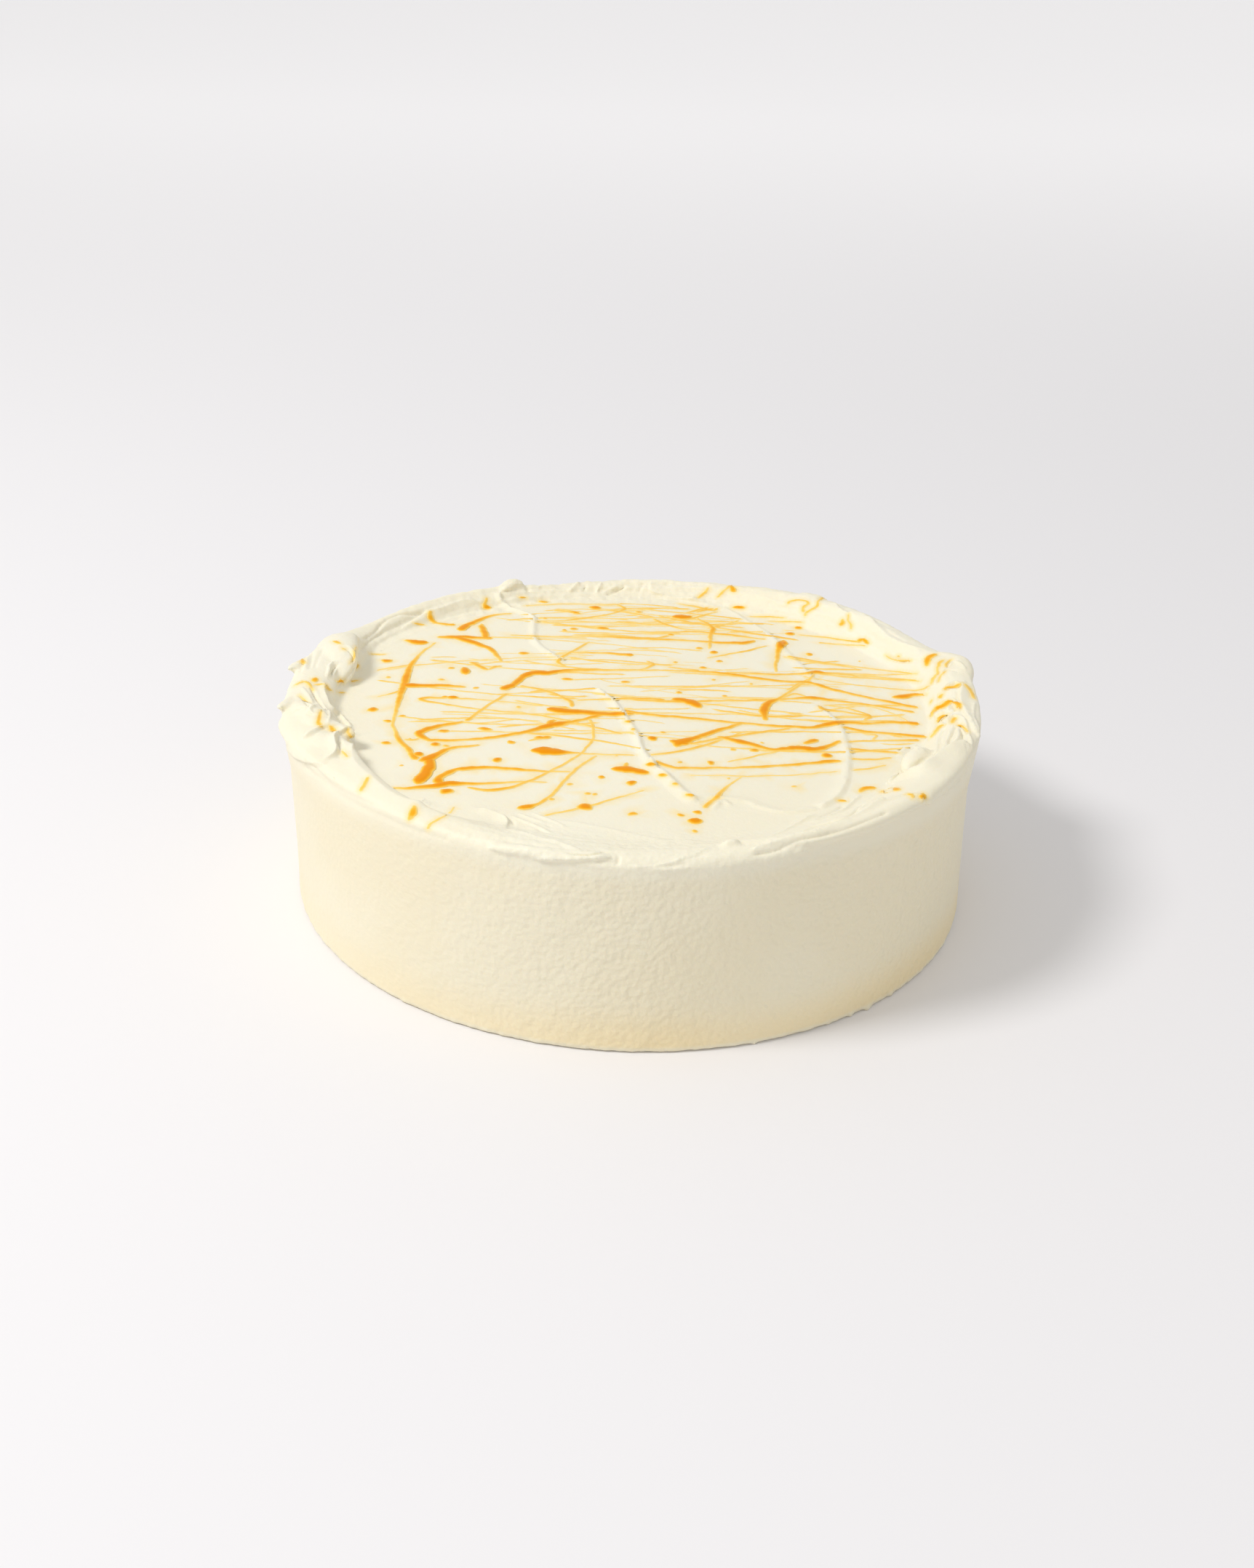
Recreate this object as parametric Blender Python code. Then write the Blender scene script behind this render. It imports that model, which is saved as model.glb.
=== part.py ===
# Whole yuzu cheesecake coated in whipped cream, with yuzu sauce drizzled over its top.
# One solid: an upright drum with a swiped, ruffled cream rim round a flat top, palette knife
# ridges across the top, and the thicker strokes and drops of sauce standing on it.
# Metres, +Z up; the origin is the middle of the flat base, and -Y is the front of the cake.

import math

import bmesh
import bpy
from mathutils import Vector

MM = 0.001

# Drum
BASE_RADIUS = 131.5 * MM
WALL_TAPER = 0.023  # radius lost for each unit of height
FOOT_ROUND = 1.6 * MM
TOP_HEIGHT = 72.0 * MM
FLARE_START = 51.0 * MM  # above this height the wall leans out under the rim
LIP_DROP = 3.8 * MM  # the widest place of the rim lies this far below its crest
LIP_TURNS = (30.0, 62.0)  # degrees round the lip's shoulder, from its widest place to the crest
FLARE_EARLY = 0.2  # how much sooner than evenly the wall leans out
DOME_POWER = 3.5  # how late a full rim falls to its inner foot
COLUMNS = 120
WALL_HEIGHTS = (12.0 * MM, 31.0 * MM, FLARE_START)
FLARE_STEPS = (0.3, 0.6, 0.85)
RIM_STEPS = (0.2, 0.42, 0.62, 0.78, 0.91)  # from the crest in to the foot of the rim

# Rim of cream, anticlockwise from the right. At each angle in degrees: radius and height of
# the crest, how far the lip stands past the wall, radius of the rim's inner foot, in mm, and
# how full the slope between them is, from 0 for a soft slope to 1 for a dome with a steep foot
RIM = (
    (0, 128.0, 82.0, 4.2, 114.0, 0.8),  # right folds
    (12, 129.0, 83.0, 4.5, 115.0, 0.8),
    (24, 122.0, 82.0, 3.0, 114.0, 0.5),
    (40, 123.0, 82.0, 0.6, 113.0, 0.3),  # thick roll at the back right
    (56, 124.0, 81.5, 1.2, 113.0, 0.3),
    (70, 125.5, 79.3, 0.0, 114.0, 0.2),
    (90, 126.0, 77.3, 0.0, 117.0, 0.1),  # broad rough band at the back
    (107, 125.5, 75.4, 0.0, 117.0, 0.2),
    (118, 126.0, 77.5, 0.0, 117.0, 0.3),
    (132, 128.0, 77.5, 0.0, 118.0, 0.4),  # smooth ridge at the back left
    (152, 129.0, 77.0, 0.8, 119.0, 0.6),
    (163, 127.5, 80.0, 3.0, 114.0, 1.0),  # left bulge
    (176, 128.0, 80.5, 5.5, 113.0, 1.0),
    (188, 127.0, 78.8, 5.5, 114.0, 0.9),
    (200, 124.0, 79.5, 5.5, 112.5, 0.9),  # left ruffles
    (210, 118.5, 79.6, 4.0, 114.5, 0.7),
    (220, 120.5, 78.5, 2.2, 117.0, 0.6),  # smooth band with a sharp inner crest
    (232, 122.0, 76.4, 0.8, 118.5, 0.4),
    (246, 122.5, 75.0, 0.0, 112.0, 0.1),  # low streaked front
    (268, 124.5, 74.4, 0.0, 110.0, 0.0),
    (288, 124.5, 75.2, 0.0, 110.0, 0.0),
    (303, 125.5, 77.5, 0.3, 112.0, 0.3),  # ribbon at the front right
    (320, 127.0, 80.0, 2.2, 112.0, 0.4),
    (340, 128.5, 81.5, 3.6, 112.0, 0.7),
)

# Swipes and lumps of cream on the rim: path as (angle in degrees, radius, height), then the
# widest width and the thickness in mm, and how blunt the ends are, from 0 to 1
SWIPES = (
    (((158, 130, 75), (163, 127.5, 77.5), (170, 121.5, 77.5), (177, 117, 74)), 17.0, 8.0, 0.8),
    (((168, 133, 77), (174, 134.5, 78.2), (178.6, 137, 79.6)), 7.0, 4.5, 0.2),
    (((185, 132.5, 76.5), (189.5, 134.8, 77.2), (192.6, 137, 78.6)), 7.0, 4.5, 0.2),
    (((189, 130, 77), (195, 126, 78.8), (202, 118.5, 79)), 9.0, 5.0, 0.2),
    (((196, 130, 77), (201.5, 122, 79), (205.8, 113, 78.2)), 9.0, 5.0, 0.2),
    (((192, 133, 74), (200, 130, 76), (207, 126, 77.5), (212, 121, 77)), 13.0, 6.0, 0.7),
    (((331, 112.5, 74), (335, 112, 75.8), (339, 114, 75.8)), 12.5, 9.0, 0.9),
    (((287, 121, 75.4), (300, 128.4, 77), (318, 131.6, 78.7), (335, 133.5, 79.5)), 8.5, 4.6, 0.4),
    (((411, 128, 79), (415.5, 127.5, 81), (419, 125, 79.5)), 11.0, 7.0, 0.7),
    (((114, 127, 77), (117.5, 126, 78.6), (120.5, 124, 77)), 8.5, 5.0, 0.8),
    (((249, 129.4, 73), (258, 128.4, 73.5), (267.5, 126.8, 73.7)), 4.2, 3.0, 0.9),
    (((284, 117, 73.6), (286.5, 116.5, 75.4), (288.5, 117.5, 74.6)), 4.2, 2.4, 0.8),
)

# Folds that run over the rim's own surface: path as (angle in degrees, radius), then the width
# and the height above the rim, in mm
FOLDS = (
    (((168, 127), (176, 121), (187, 117), (201, 113)), 5.0, 2.2),
    (((167, 131), (173, 128), (183, 123)), 4.0, 1.6),
    (((185, 129), (191, 123), (201, 119)), 4.5, 1.8),
    (((199, 118), (203, 125), (206, 131)), 5.0, 2.2),
    (((202, 112.5), (206, 120), (209, 124), (214, 127)), 5.0, 2.0),
    (((205, 114), (214, 119), (223, 122), (231, 123), (236, 121)), 5.0, 1.5),
    (((236, 114), (243, 111), (249, 114.5), (261, 121)), 5.5, 1.7),
    (((289, 128), (298, 126), (308, 125), (321, 122)), 6.0, 1.6),
    (((317, 115.5), (326, 118), (333, 122), (342, 127)), 8.0, 3.2),
    (((342, 130), (349, 127.5), (360, 126), (366, 130)), 6.0, 2.6),
    (((351, 113.5), (358, 117), (361, 121.5), (359, 125)), 4.5, 2.0),
    (((344, 113), (350, 117), (353, 122)), 4.5, 1.9),
    (((335, 119), (343, 120), (349, 122)), 4.5, 1.9),
    (((5, 117), (12, 121), (17, 127)), 5.0, 1.7),
    (((51, 127), (43, 122), (37, 124), (31, 119.5), (24, 121)), 7.0, 2.0),
    (((88, 127), (86, 116), (79, 109.5)), 7.0, 1.2),
    (((144, 121), (135, 126), (128, 127), (123, 124)), 6.0, 1.2),
)

# Ridges left across the top by the palette knife: path as (x, y), then width and height, in mm
RIDGES = (
    (((-62, 115), (-50, 95), (-44, 75), (-38, 52), (-30, 40)), 5.0, 1.6),
    (((-16, 15), (-6, -5), (1, -28), (6, -50), (17, -70), (24, -82)), 6.0, 2.0),
    (((24, 116), (48, 92), (60, 66), (72, 30)), 4.0, 1.1),
    (((71, 5), (79, -22), (78, -50), (66, -80), (48, -85), (32, -79)), 4.0, 1.3),
)

# Thicker strokes of sauce on the top: points as (x, y, width of the stroke there), in mm
STROKES = (
    ((-67, 110, 1.6), (-67, 103, 2.5), (-65, 96, 5.5)),
    ((-54, 93, 1.6), (-62, 90, 2.5), (-68, 83, 3.5), (-75, 70, 5.0)),
    ((-66.5, 80, 2.0), (-65, 73, 3.0), (-63, 63, 4.2)),
    ((-90, 93, 2.0), (-88, 83, 3.0), (-85, 78, 2.5), (-77, 77, 3.5)),
    ((-84, 62.5, 2.5), (-76, 63, 4.0), (-70, 59, 4.5), (-61, 52, 3.5), (-55, 39, 1.6)),
    ((-97, 57, 2.0), (-91, 56, 6.0), (-86, 56, 4.5)),
    ((-84, 56, 1.8), (-91, 30, 3.0), (-91, 12, 3.5), (-91, -15, 2.0), (-86, -40, 2.6), (-78, -54, 3.2)),
    ((-92, 11, 5.0), (-78, 12, 4.0), (-66, 12, 1.5)),
    ((-69, 33, 2.5), (-68.5, 28, 4.5), (-68, 23.5, 3.0)),
    ((-53, 10, 5.0), (-48, 16, 4.0), (-45, 24, 4.0), (-38, 28.5, 5.0), (-25, 33, 2.6), (0, 35, 2.0)),
    ((20, 36, 2.0), (38, 35, 3.0), (60, 29, 2.6), (70, 28.5, 3.0), (84, 20, 2.8), (110, 8, 3.0)),
    ((-50, 7, 1.8), (-61, -15, 2.2), (-66, -22, 2.6), (-80, -33, 4.0), (-65, -37.5, 2.6), (-40, -28, 3.0),
     (-29, -21, 5.0), (-12, -10, 3.0)),
    ((-34, -6, 6.0), (-20, -8.5, 5.0), (-9, -9, 3.0)),
    ((-78, -54, 5.0), (-76, -62, 6.0), (-75, -72, 6.0), (-72, -78, 4.0)),
    ((-74, -54, 4.0), (-68, -46, 3.0), (-56, -41, 2.0)),
    ((-22, -60, 1.8), (-50, -60, 3.0), (-61, -61, 4.0), (-68, -70, 6.0), (-58, -73.5, 4.0),
     (-36, -70, 2.0)),
    ((-37, -44, 5.0), (-31, -44, 8.0), (-24, -45, 3.5), (-6, -45, 1.6)),
    ((-8, -57, 2.5), (-1, -57, 7.0), (6, -60, 4.0)),
    ((15, 95, 3.0), (20, 96, 6.5), (24, 97, 3.0)),
    ((14, 7, 3.0), (21, 6.5, 5.0), (26, 0, 3.2)),
    ((60, 14, 2.0), (53, 8, 4.0), (50.5, 0, 4.5), (50, -9, 3.0)),
    ((102, 17, 3.0), (108, 19, 4.5), (112, 20, 2.5)),
    ((-4, -5, 3.0), (30, -12, 2.6), (64, -15, 3.2), (77, -9, 4.0), (92, -9, 2.6), (109, -7.5, 3.4)),
    ((80, -13, 3.0), (90, -17, 2.8), (110, -19, 3.2)),
    ((15, -35, 5.0), (21, -30, 4.0), (30, -22, 3.5), (40, -13, 2.5)),
    ((32, -27, 2.0), (41, -30, 4.0), (54, -35, 3.4), (66, -33, 4.6), (77, -25, 3.0)),
    ((74, -43.5, 3.5), (50, -50, 2.4), (15, -54, 2.6), (8, -49, 3.0)),
    ((-10, 69.5, 2.4), (20, 69, 2.6), (44, 69, 3.6), (50, 72, 2.6)),
    ((60, 73, 5.5), (58, 55, 2.8), (57, 39, 2.0)),
    ((31, 9, 2.4), (52, 10, 2.4), (70, 13.5, 4.2), (82, 10.5, 2.4), (108, 3, 2.6)),
)

# Round drops of sauce on the top: (x, y, diameter), in mm
DROPS = (
    (-101, 35, 4.0), (-71, 1.5, 5.0), (-100, -13, 4.2), (-73, -42, 4.4), (-49, -53, 4.2),
    (-65, -80, 4.6), (-37, -91, 5.4), (-16, -88, 5.4), (22, -95, 5.4), (0, -68, 4.2),
    (7, -30, 5.2), (72, -39, 4.6), (28, -49, 4.0), (68, -27, 4.6), (-27, 96, 5.0),
    (32, 57, 4.2), (-3, 51, 4.4), (44, 110, 4.4), (66, 81, 4.4), (-35, -33, 4.0),
)

SAUCE_RISE = 0.26  # height of a stroke of sauce as a part of its width
SAUCE_SINK = 0.6 * MM  # depth of the sauce's underside below the cream
SAUCE_SIDES = 5
SAUCE_STEP = 10.0 * MM
DROP_SIDES = 7
SWIPE_SIDES = 6
SWIPE_STEP = 6.0 * MM
POINTED_END = 0.25  # width left at a pointed end, as a part of the widest
BLUNT_END = 0.7  # and at a blunt one
FOLD_SIDES = 5
FOLD_STEP = 8.0 * MM
FOLD_SINK = 1.2 * MM  # depth of a fold's underside below the rim
RIDGE_SIDES = 5
RIDGE_STEP = 11.0 * MM

CREAM = (0.92, 0.88, 0.72, 1.0)
CREAM_ROUGHNESS = 0.5


def clear_scene():
    for item in list(bpy.data.objects):
        bpy.data.objects.remove(item, do_unlink=True)


def cream_material():
    material = bpy.data.materials.new("cream")
    material.use_nodes = True
    shader = material.node_tree.nodes["Principled BSDF"]
    shader.inputs["Base Color"].default_value = CREAM
    shader.inputs["Roughness"].default_value = CREAM_ROUGHNESS
    shader.inputs["Metallic"].default_value = 0.0
    return material


def hermite(a, b, slope_a, slope_b, part):
    # Cubic from a to b with the given slopes over a unit step
    square = part * part
    cube = square * part
    return (
        a * (2 * cube - 3 * square + 1)
        + slope_a * (cube - 2 * square + part)
        + b * (3 * square - 2 * cube)
        + slope_b * (cube - square)
    )


def rim_at(angle):
    # Crest radius, crest height, lip, inner foot and fullness of the rim at an angle in degrees
    count = len(RIM)
    place = angle % 360.0
    index = max(i for i in range(count) if RIM[i][0] <= place)
    around = []
    for offset in (-1, 0, 1, 2):
        turn, slot = divmod(index + offset, count)
        around.append((RIM[slot][0] + 360.0 * turn,) + RIM[slot][1:])
    before, here, after, beyond = around
    span = after[0] - here[0]
    part = (place - here[0]) / span
    values = []
    for item in range(1, len(here)):
        slope_here = (after[item] - before[item]) / (after[0] - before[0]) * span
        slope_after = (beyond[item] - here[item]) / (beyond[0] - here[0]) * span
        values.append(hermite(here[item], after[item], slope_here, slope_after, part))
    sizes = [value * MM for value in values[:4]]
    return sizes + [min(max(values[4], 0.0), 1.0)]


def wall_radius(height):
    return BASE_RADIUS - WALL_TAPER * height


def blend(a, b, part):
    return a + (b - a) * part


def ease(part):
    return part * part * (3.0 - 2.0 * part)


def rim_fall(full, part):
    # How far down the rim is, from 0 at the crest to 1 at its inner foot
    return (1.0 - full) * ease(part) + full * part ** DOME_POWER


def section(angle):
    # Outline of the cake at one angle, as (radius, height) from the base's edge to the flat top
    crest_radius, crest_height, lip, foot_radius, full = rim_at(angle)
    lip = max(lip, 0.0)
    lip_height = crest_height - LIP_DROP
    lip_radius = wall_radius(lip_height) + lip
    outline = [
        (BASE_RADIUS - FOOT_ROUND, 0.0),
        (BASE_RADIUS - 0.3 * FOOT_ROUND, 0.3 * FOOT_ROUND),
        (wall_radius(FOOT_ROUND), FOOT_ROUND),
    ]
    for height in WALL_HEIGHTS:
        outline.append((wall_radius(height), height))
    for step in FLARE_STEPS:
        height = blend(FLARE_START, lip_height, step)
        lean = step * (1.0 + FLARE_EARLY * (1.0 - step))
        outline.append((wall_radius(height) + lip * lean, height))
    outline.append((lip_radius, lip_height))
    for turn in LIP_TURNS:
        radius = blend(crest_radius, lip_radius, math.cos(math.radians(turn)))
        outline.append((radius, lip_height + LIP_DROP * math.sin(math.radians(turn))))
    outline.append((crest_radius, crest_height))
    for step in RIM_STEPS:
        radius = blend(crest_radius, foot_radius, step)
        outline.append((radius, blend(crest_height, TOP_HEIGHT, rim_fall(full, step))))
    outline.append((foot_radius, TOP_HEIGHT))
    return outline


def rim_height(angle, radius):
    # Height of the rim's own surface over a place on it
    crest_radius, crest_height, lip, foot_radius, full = rim_at(angle)
    if radius <= crest_radius:
        part = min((crest_radius - radius) / (crest_radius - foot_radius), 1.0)
        return blend(crest_height, TOP_HEIGHT, rim_fall(full, part))
    lip_height = crest_height - LIP_DROP
    lip_radius = wall_radius(lip_height) + max(lip, 0.0)
    out = min((radius - crest_radius) / (lip_radius - crest_radius), 1.0)
    return lip_height + LIP_DROP * math.sqrt(1.0 - out * out)


def polar(angle, radius, height):
    turn = math.radians(angle)
    return Vector((radius * math.cos(turn), radius * math.sin(turn), height))


def skin(rings, poles=None):
    # Closed surface over rings of equal length. Each end is shut by a fan to its pole, or by
    # one flat face where no poles are given
    bm = bmesh.new()
    rows = [[bm.verts.new(point) for point in ring] for ring in rings]
    for low, high in zip(rows, rows[1:]):
        for place in range(len(low)):
            bm.faces.new((low[place - 1], low[place], high[place], high[place - 1]))
    bmesh.ops.triangulate(bm, faces=bm.faces[:])
    if poles is None:
        bm.faces.new(rows[0])
        bm.faces.new(rows[-1])
    else:
        for row, point in zip((rows[0], rows[-1]), poles):
            pole = bm.verts.new(point)
            for place in range(len(row)):
                bm.faces.new((row[place - 1], row[place], pole))
    return bm


def finish_object(bm, name, material):
    bmesh.ops.recalc_face_normals(bm, faces=bm.faces[:])
    mesh = bpy.data.meshes.new(name)
    bm.to_mesh(mesh)
    bm.free()
    mesh.materials.append(material)
    piece = bpy.data.objects.new(name, mesh)
    bpy.context.scene.collection.objects.link(piece)
    return piece


def make_drum(material):
    angles = [360.0 * column / COLUMNS for column in range(COLUMNS)]
    outlines = [section(angle) for angle in angles]
    rings = []
    for row in range(len(outlines[0])):
        rings.append([polar(angle, *outline[row]) for angle, outline in zip(angles, outlines)])
    return finish_object(skin(rings), "cake", material)


def smooth_path(points, step):
    # Points along a smooth curve through the given ones, about one step apart; any values
    # that follow the first three, such as a width, are carried along
    path = []
    for index in range(len(points) - 1):
        before = points[max(index - 1, 0)]
        here = points[index]
        after = points[index + 1]
        beyond = points[min(index + 2, len(points) - 1)]
        length = (Vector(after[:3]) - Vector(here[:3])).length
        pieces = max(1, round(length / step))
        for piece in range(pieces):
            part = piece / pieces
            point = []
            for item in range(len(here)):
                slope_here = (after[item] - before[item]) / 2
                slope_after = (beyond[item] - here[item]) / 2
                point.append(hermite(here[item], after[item], slope_here, slope_after, part))
            path.append(point)
    path.append(list(points[-1]))
    return path


def sweep(name, path, up_of, sides, material):
    # Flattened tube along a path of (x, y, z, width, rise, sink); both ends are rounded off
    rings = []
    centres = [Vector(point[:3]) for point in path]
    for index, point in enumerate(path):
        width, rise, sink = point[3:]
        ahead = centres[min(index + 1, len(path) - 1)] - centres[max(index - 1, 0)]
        up = up_of(centres[index])
        across = ahead.normalized().cross(up).normalized()
        ring = []
        for side in range(sides):
            turn = 2.0 * math.pi * (side + 0.25) / sides
            depth = math.sin(turn)
            lift = rise * depth if depth > 0 else sink * depth
            ring.append(centres[index] + across * (0.5 * width * math.cos(turn)) + up * lift)
        rings.append(ring)
    start = centres[0] + (centres[0] - centres[1]).normalized() * (0.5 * path[0][3])
    finish = centres[-1] + (centres[-1] - centres[-2]).normalized() * (0.5 * path[-1][3])
    return finish_object(skin(rings, (start, finish)), name, material)


def rim_up(point):
    # The rim's swipes lie on its slope, so their upper side leans outwards a little
    outwards = Vector((point.x, point.y, 0.0)).normalized()
    return (Vector((0.0, 0.0, 1.0)) + 0.25 * outwards).normalized()


def straight_up(point):
    return Vector((0.0, 0.0, 1.0))


def make_swipe(number, swipe, material):
    points, width, thickness, blunt = swipe
    centres = [polar(angle, radius * MM, height * MM) for angle, radius, height in points]
    path = []
    smooth = smooth_path([tuple(centre) for centre in centres], SWIPE_STEP)
    for index, point in enumerate(smooth):
        along = index / (len(smooth) - 1)
        ends = blend(POINTED_END, BLUNT_END, blunt)
        full = ends + (1.0 - ends) * math.sin(math.pi * along)
        half = 0.5 * thickness * full * MM
        path.append(point + [width * full * MM, half, half])
    return sweep("swipe_%02d" % number, path, rim_up, SWIPE_SIDES, material)


def make_fold(number, fold, material):
    points, width, height = fold
    flat = []
    for angle, radius in points:
        place = polar(angle, radius * MM, 0.0)
        flat.append((place.x, place.y, 0.0))
    smooth = smooth_path(flat, FOLD_STEP)
    path = []
    for index, point in enumerate(smooth):
        angle = math.degrees(math.atan2(point[1], point[0]))
        level = rim_height(angle, math.hypot(point[0], point[1]))
        along = index / (len(smooth) - 1)
        full = POINTED_END + (1.0 - POINTED_END) * math.sin(math.pi * along)
        path.append([point[0], point[1], level, width * full * MM, height * full * MM, FOLD_SINK])
    return sweep("fold_%02d" % number, path, rim_up, FOLD_SIDES, material)


def make_ridge(number, ridge, material):
    points, width, height = ridge
    smooth = smooth_path([(x * MM, y * MM, TOP_HEIGHT) for x, y in points], RIDGE_STEP)
    path = [point + [width * MM, height * MM, height * MM] for point in smooth]
    return sweep("ridge_%02d" % number, path, straight_up, RIDGE_SIDES, material)


def make_stroke(number, stroke, material):
    smooth = smooth_path([(x * MM, y * MM, TOP_HEIGHT, w * MM) for x, y, w in stroke], SAUCE_STEP)
    path = []
    for point in smooth:
        path.append(point + [point[3] * SAUCE_RISE, SAUCE_SINK])
    return sweep("stroke_%02d" % number, path, straight_up, SAUCE_SIDES, material)


def make_drop(number, drop, material):
    x, y, diameter = (value * MM for value in drop)
    ring = []
    for side in range(DROP_SIDES):
        turn = 2.0 * math.pi * side / DROP_SIDES
        ring.append((x + 0.5 * diameter * math.cos(turn), y + 0.5 * diameter * math.sin(turn)))
    low = TOP_HEIGHT - SAUCE_SINK
    high = TOP_HEIGHT + 0.7 * SAUCE_RISE * diameter
    rings = [
        [Vector((px, py, low)) for px, py in ring],
        [Vector((px, py, TOP_HEIGHT + 0.1 * MM)) for px, py in ring],
        [Vector((blend(x, px, 0.6), blend(y, py, 0.6), high)) for px, py in ring],
    ]
    return finish_object(skin(rings), "drop_%02d" % number, material)


def fuse(base, pieces):
    # Join the pieces to the base as one body, then drop them
    group = bpy.data.collections.new("laid_on")
    bpy.context.scene.collection.children.link(group)
    for piece in pieces:
        bpy.context.scene.collection.objects.unlink(piece)
        group.objects.link(piece)
    union = base.modifiers.new("union", "BOOLEAN")
    union.operation = "UNION"
    union.operand_type = "COLLECTION"
    union.collection = group
    union.solver = "EXACT"
    bpy.context.view_layer.update()
    solid = bpy.data.meshes.new_from_object(base.evaluated_get(bpy.context.evaluated_depsgraph_get()))
    base.modifiers.clear()
    base.data = solid
    for piece in list(group.objects):
        bpy.data.objects.remove(piece, do_unlink=True)
    bpy.data.collections.remove(group)


def main():
    clear_scene()
    cream = cream_material()
    cake = make_drum(cream)
    laid_on = []
    for number, swipe in enumerate(SWIPES):
        laid_on.append(make_swipe(number, swipe, cream))
    for number, fold in enumerate(FOLDS):
        laid_on.append(make_fold(number, fold, cream))
    for number, ridge in enumerate(RIDGES):
        laid_on.append(make_ridge(number, ridge, cream))
    for number, stroke in enumerate(STROKES):
        laid_on.append(make_stroke(number, stroke, cream))
    for number, drop in enumerate(DROPS):
        laid_on.append(make_drop(number, drop, cream))
    fuse(cake, laid_on)


main()
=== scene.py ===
import math
import random

import bmesh
import bpy
import numpy as np
from mathutils import Matrix, Vector, noise
from mathutils.bvhtree import BVHTree
from mathutils.kdtree import KDTree


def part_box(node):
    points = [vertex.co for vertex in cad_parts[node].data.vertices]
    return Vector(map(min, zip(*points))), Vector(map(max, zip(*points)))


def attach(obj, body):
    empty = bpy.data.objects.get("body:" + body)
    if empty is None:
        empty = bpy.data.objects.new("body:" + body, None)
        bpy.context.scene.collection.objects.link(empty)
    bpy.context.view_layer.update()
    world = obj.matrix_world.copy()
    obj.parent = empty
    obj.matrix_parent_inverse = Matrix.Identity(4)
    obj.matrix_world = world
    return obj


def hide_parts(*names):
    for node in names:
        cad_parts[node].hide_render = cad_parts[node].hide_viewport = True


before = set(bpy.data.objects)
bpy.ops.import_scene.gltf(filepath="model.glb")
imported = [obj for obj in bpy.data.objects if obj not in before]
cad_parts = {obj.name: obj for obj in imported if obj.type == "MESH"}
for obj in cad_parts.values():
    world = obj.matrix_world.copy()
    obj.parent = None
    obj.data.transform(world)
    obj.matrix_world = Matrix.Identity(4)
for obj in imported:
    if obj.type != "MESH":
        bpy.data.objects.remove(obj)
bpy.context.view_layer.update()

# Whole yuzu cheesecake: a worked coat of whipped cream with yuzu sauce flicked over its top.
# Sizes are in millimetres, turned to metres by mm; the base stands at z = 0, the front is -y.

mm = 0.001
cakeLow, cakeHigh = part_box("cake")
baseRadius = -cakeLow[1] / mm  # the foot of the wall is the cake's widest place front to back
flatTop = 72.0  # height of the flat top
sightReach = 90.0  # a line of sight is followed from this far in front of the flat top's level


# Camera

cameraSet = {
    "distance": 766.8,  # from the middle of the base
    "elevation": 28.925,  # degrees above the floor
    "pan": 0.0026,  # small turns after it is aimed, radians
    "nod": 0.0442,
    "roll": -0.0373,
    "focalPixels": 2600.0,  # for a picture of this width and height
    "pictureWidth": 1724.0,
    "pictureHeight": 2156.0,
    "film": 36.0,
    "farthest": 50.0,  # metres
}


def cameraPlace():
    lift = math.radians(cameraSet["elevation"])
    back = Vector((0.0, -math.cos(lift), math.sin(lift)))
    return back * (cameraSet["distance"] * mm)


def cameraAxes():
    # Rows that point to the camera's right, up and ahead
    ahead = -cameraPlace().normalized()
    right = Vector((1.0, 0.0, 0.0))
    aimed = Matrix((right, right.cross(ahead), ahead))
    turn = Matrix.Rotation(cameraSet["roll"], 3, "Z")
    turn = turn @ Matrix.Rotation(cameraSet["nod"], 3, "X")
    turn = turn @ Matrix.Rotation(cameraSet["pan"], 3, "Y")
    return turn @ aimed


def addCamera():
    axes = cameraAxes()
    lens = bpy.data.cameras.new("camera")
    lens.sensor_width = cameraSet["film"]
    lens.lens = cameraSet["focalPixels"] * cameraSet["film"] / cameraSet["pictureHeight"]
    lens.clip_end = cameraSet["farthest"]
    camera = bpy.data.objects.new("camera", lens)
    bpy.context.scene.collection.objects.link(camera)
    columns = Matrix((axes[0], axes[1], -axes[2])).transposed()
    camera.matrix_world = Matrix.Translation(cameraPlace()) @ columns.to_4x4()
    bpy.context.scene.camera = camera


addCamera()
print("camera placed")


# Places picked on enlarged cuts of the picture. Each cut has its left and top edge in the
# picture's own pixels, and how many times it is enlarged

cuts = {
    "left": (380.0, 860.0, 8.0),
    "frontLeft": (640.0, 1100.0, 6.0),
    "frontRight": (900.0, 1050.0, 6.0),
    "right": (1180.0, 880.0, 8.0),
    "top": (500.0, 790.0, 2.4),
}


def picked(cut, places):
    # Where the lines of sight through places of a cut meet the level of the flat top, in mm.
    # A stroke's width, given after its place, is kept
    left, top, zoom = cuts[cut]
    focal = cameraSet["focalPixels"]
    eye = cameraPlace() / mm
    toWorld = cameraAxes().transposed()
    found = []
    for x, y, *width in places:
        across = (left + x / zoom - 0.5 * cameraSet["pictureWidth"]) / focal
        down = (top + y / zoom - 0.5 * cameraSet["pictureHeight"]) / focal
        sight = toWorld @ Vector((across, -down, 1.0))
        part = (flatTop - eye.z) / sight.z
        found.append((eye.x + part * sight.x, eye.y + part * sight.y, *width))
    return tuple(found)


def pickedFolds(cut, rows):
    return tuple((picked(cut, places), *sizes) for places, *sizes in rows)


# Node helpers, used for both shaders and geometry


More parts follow.
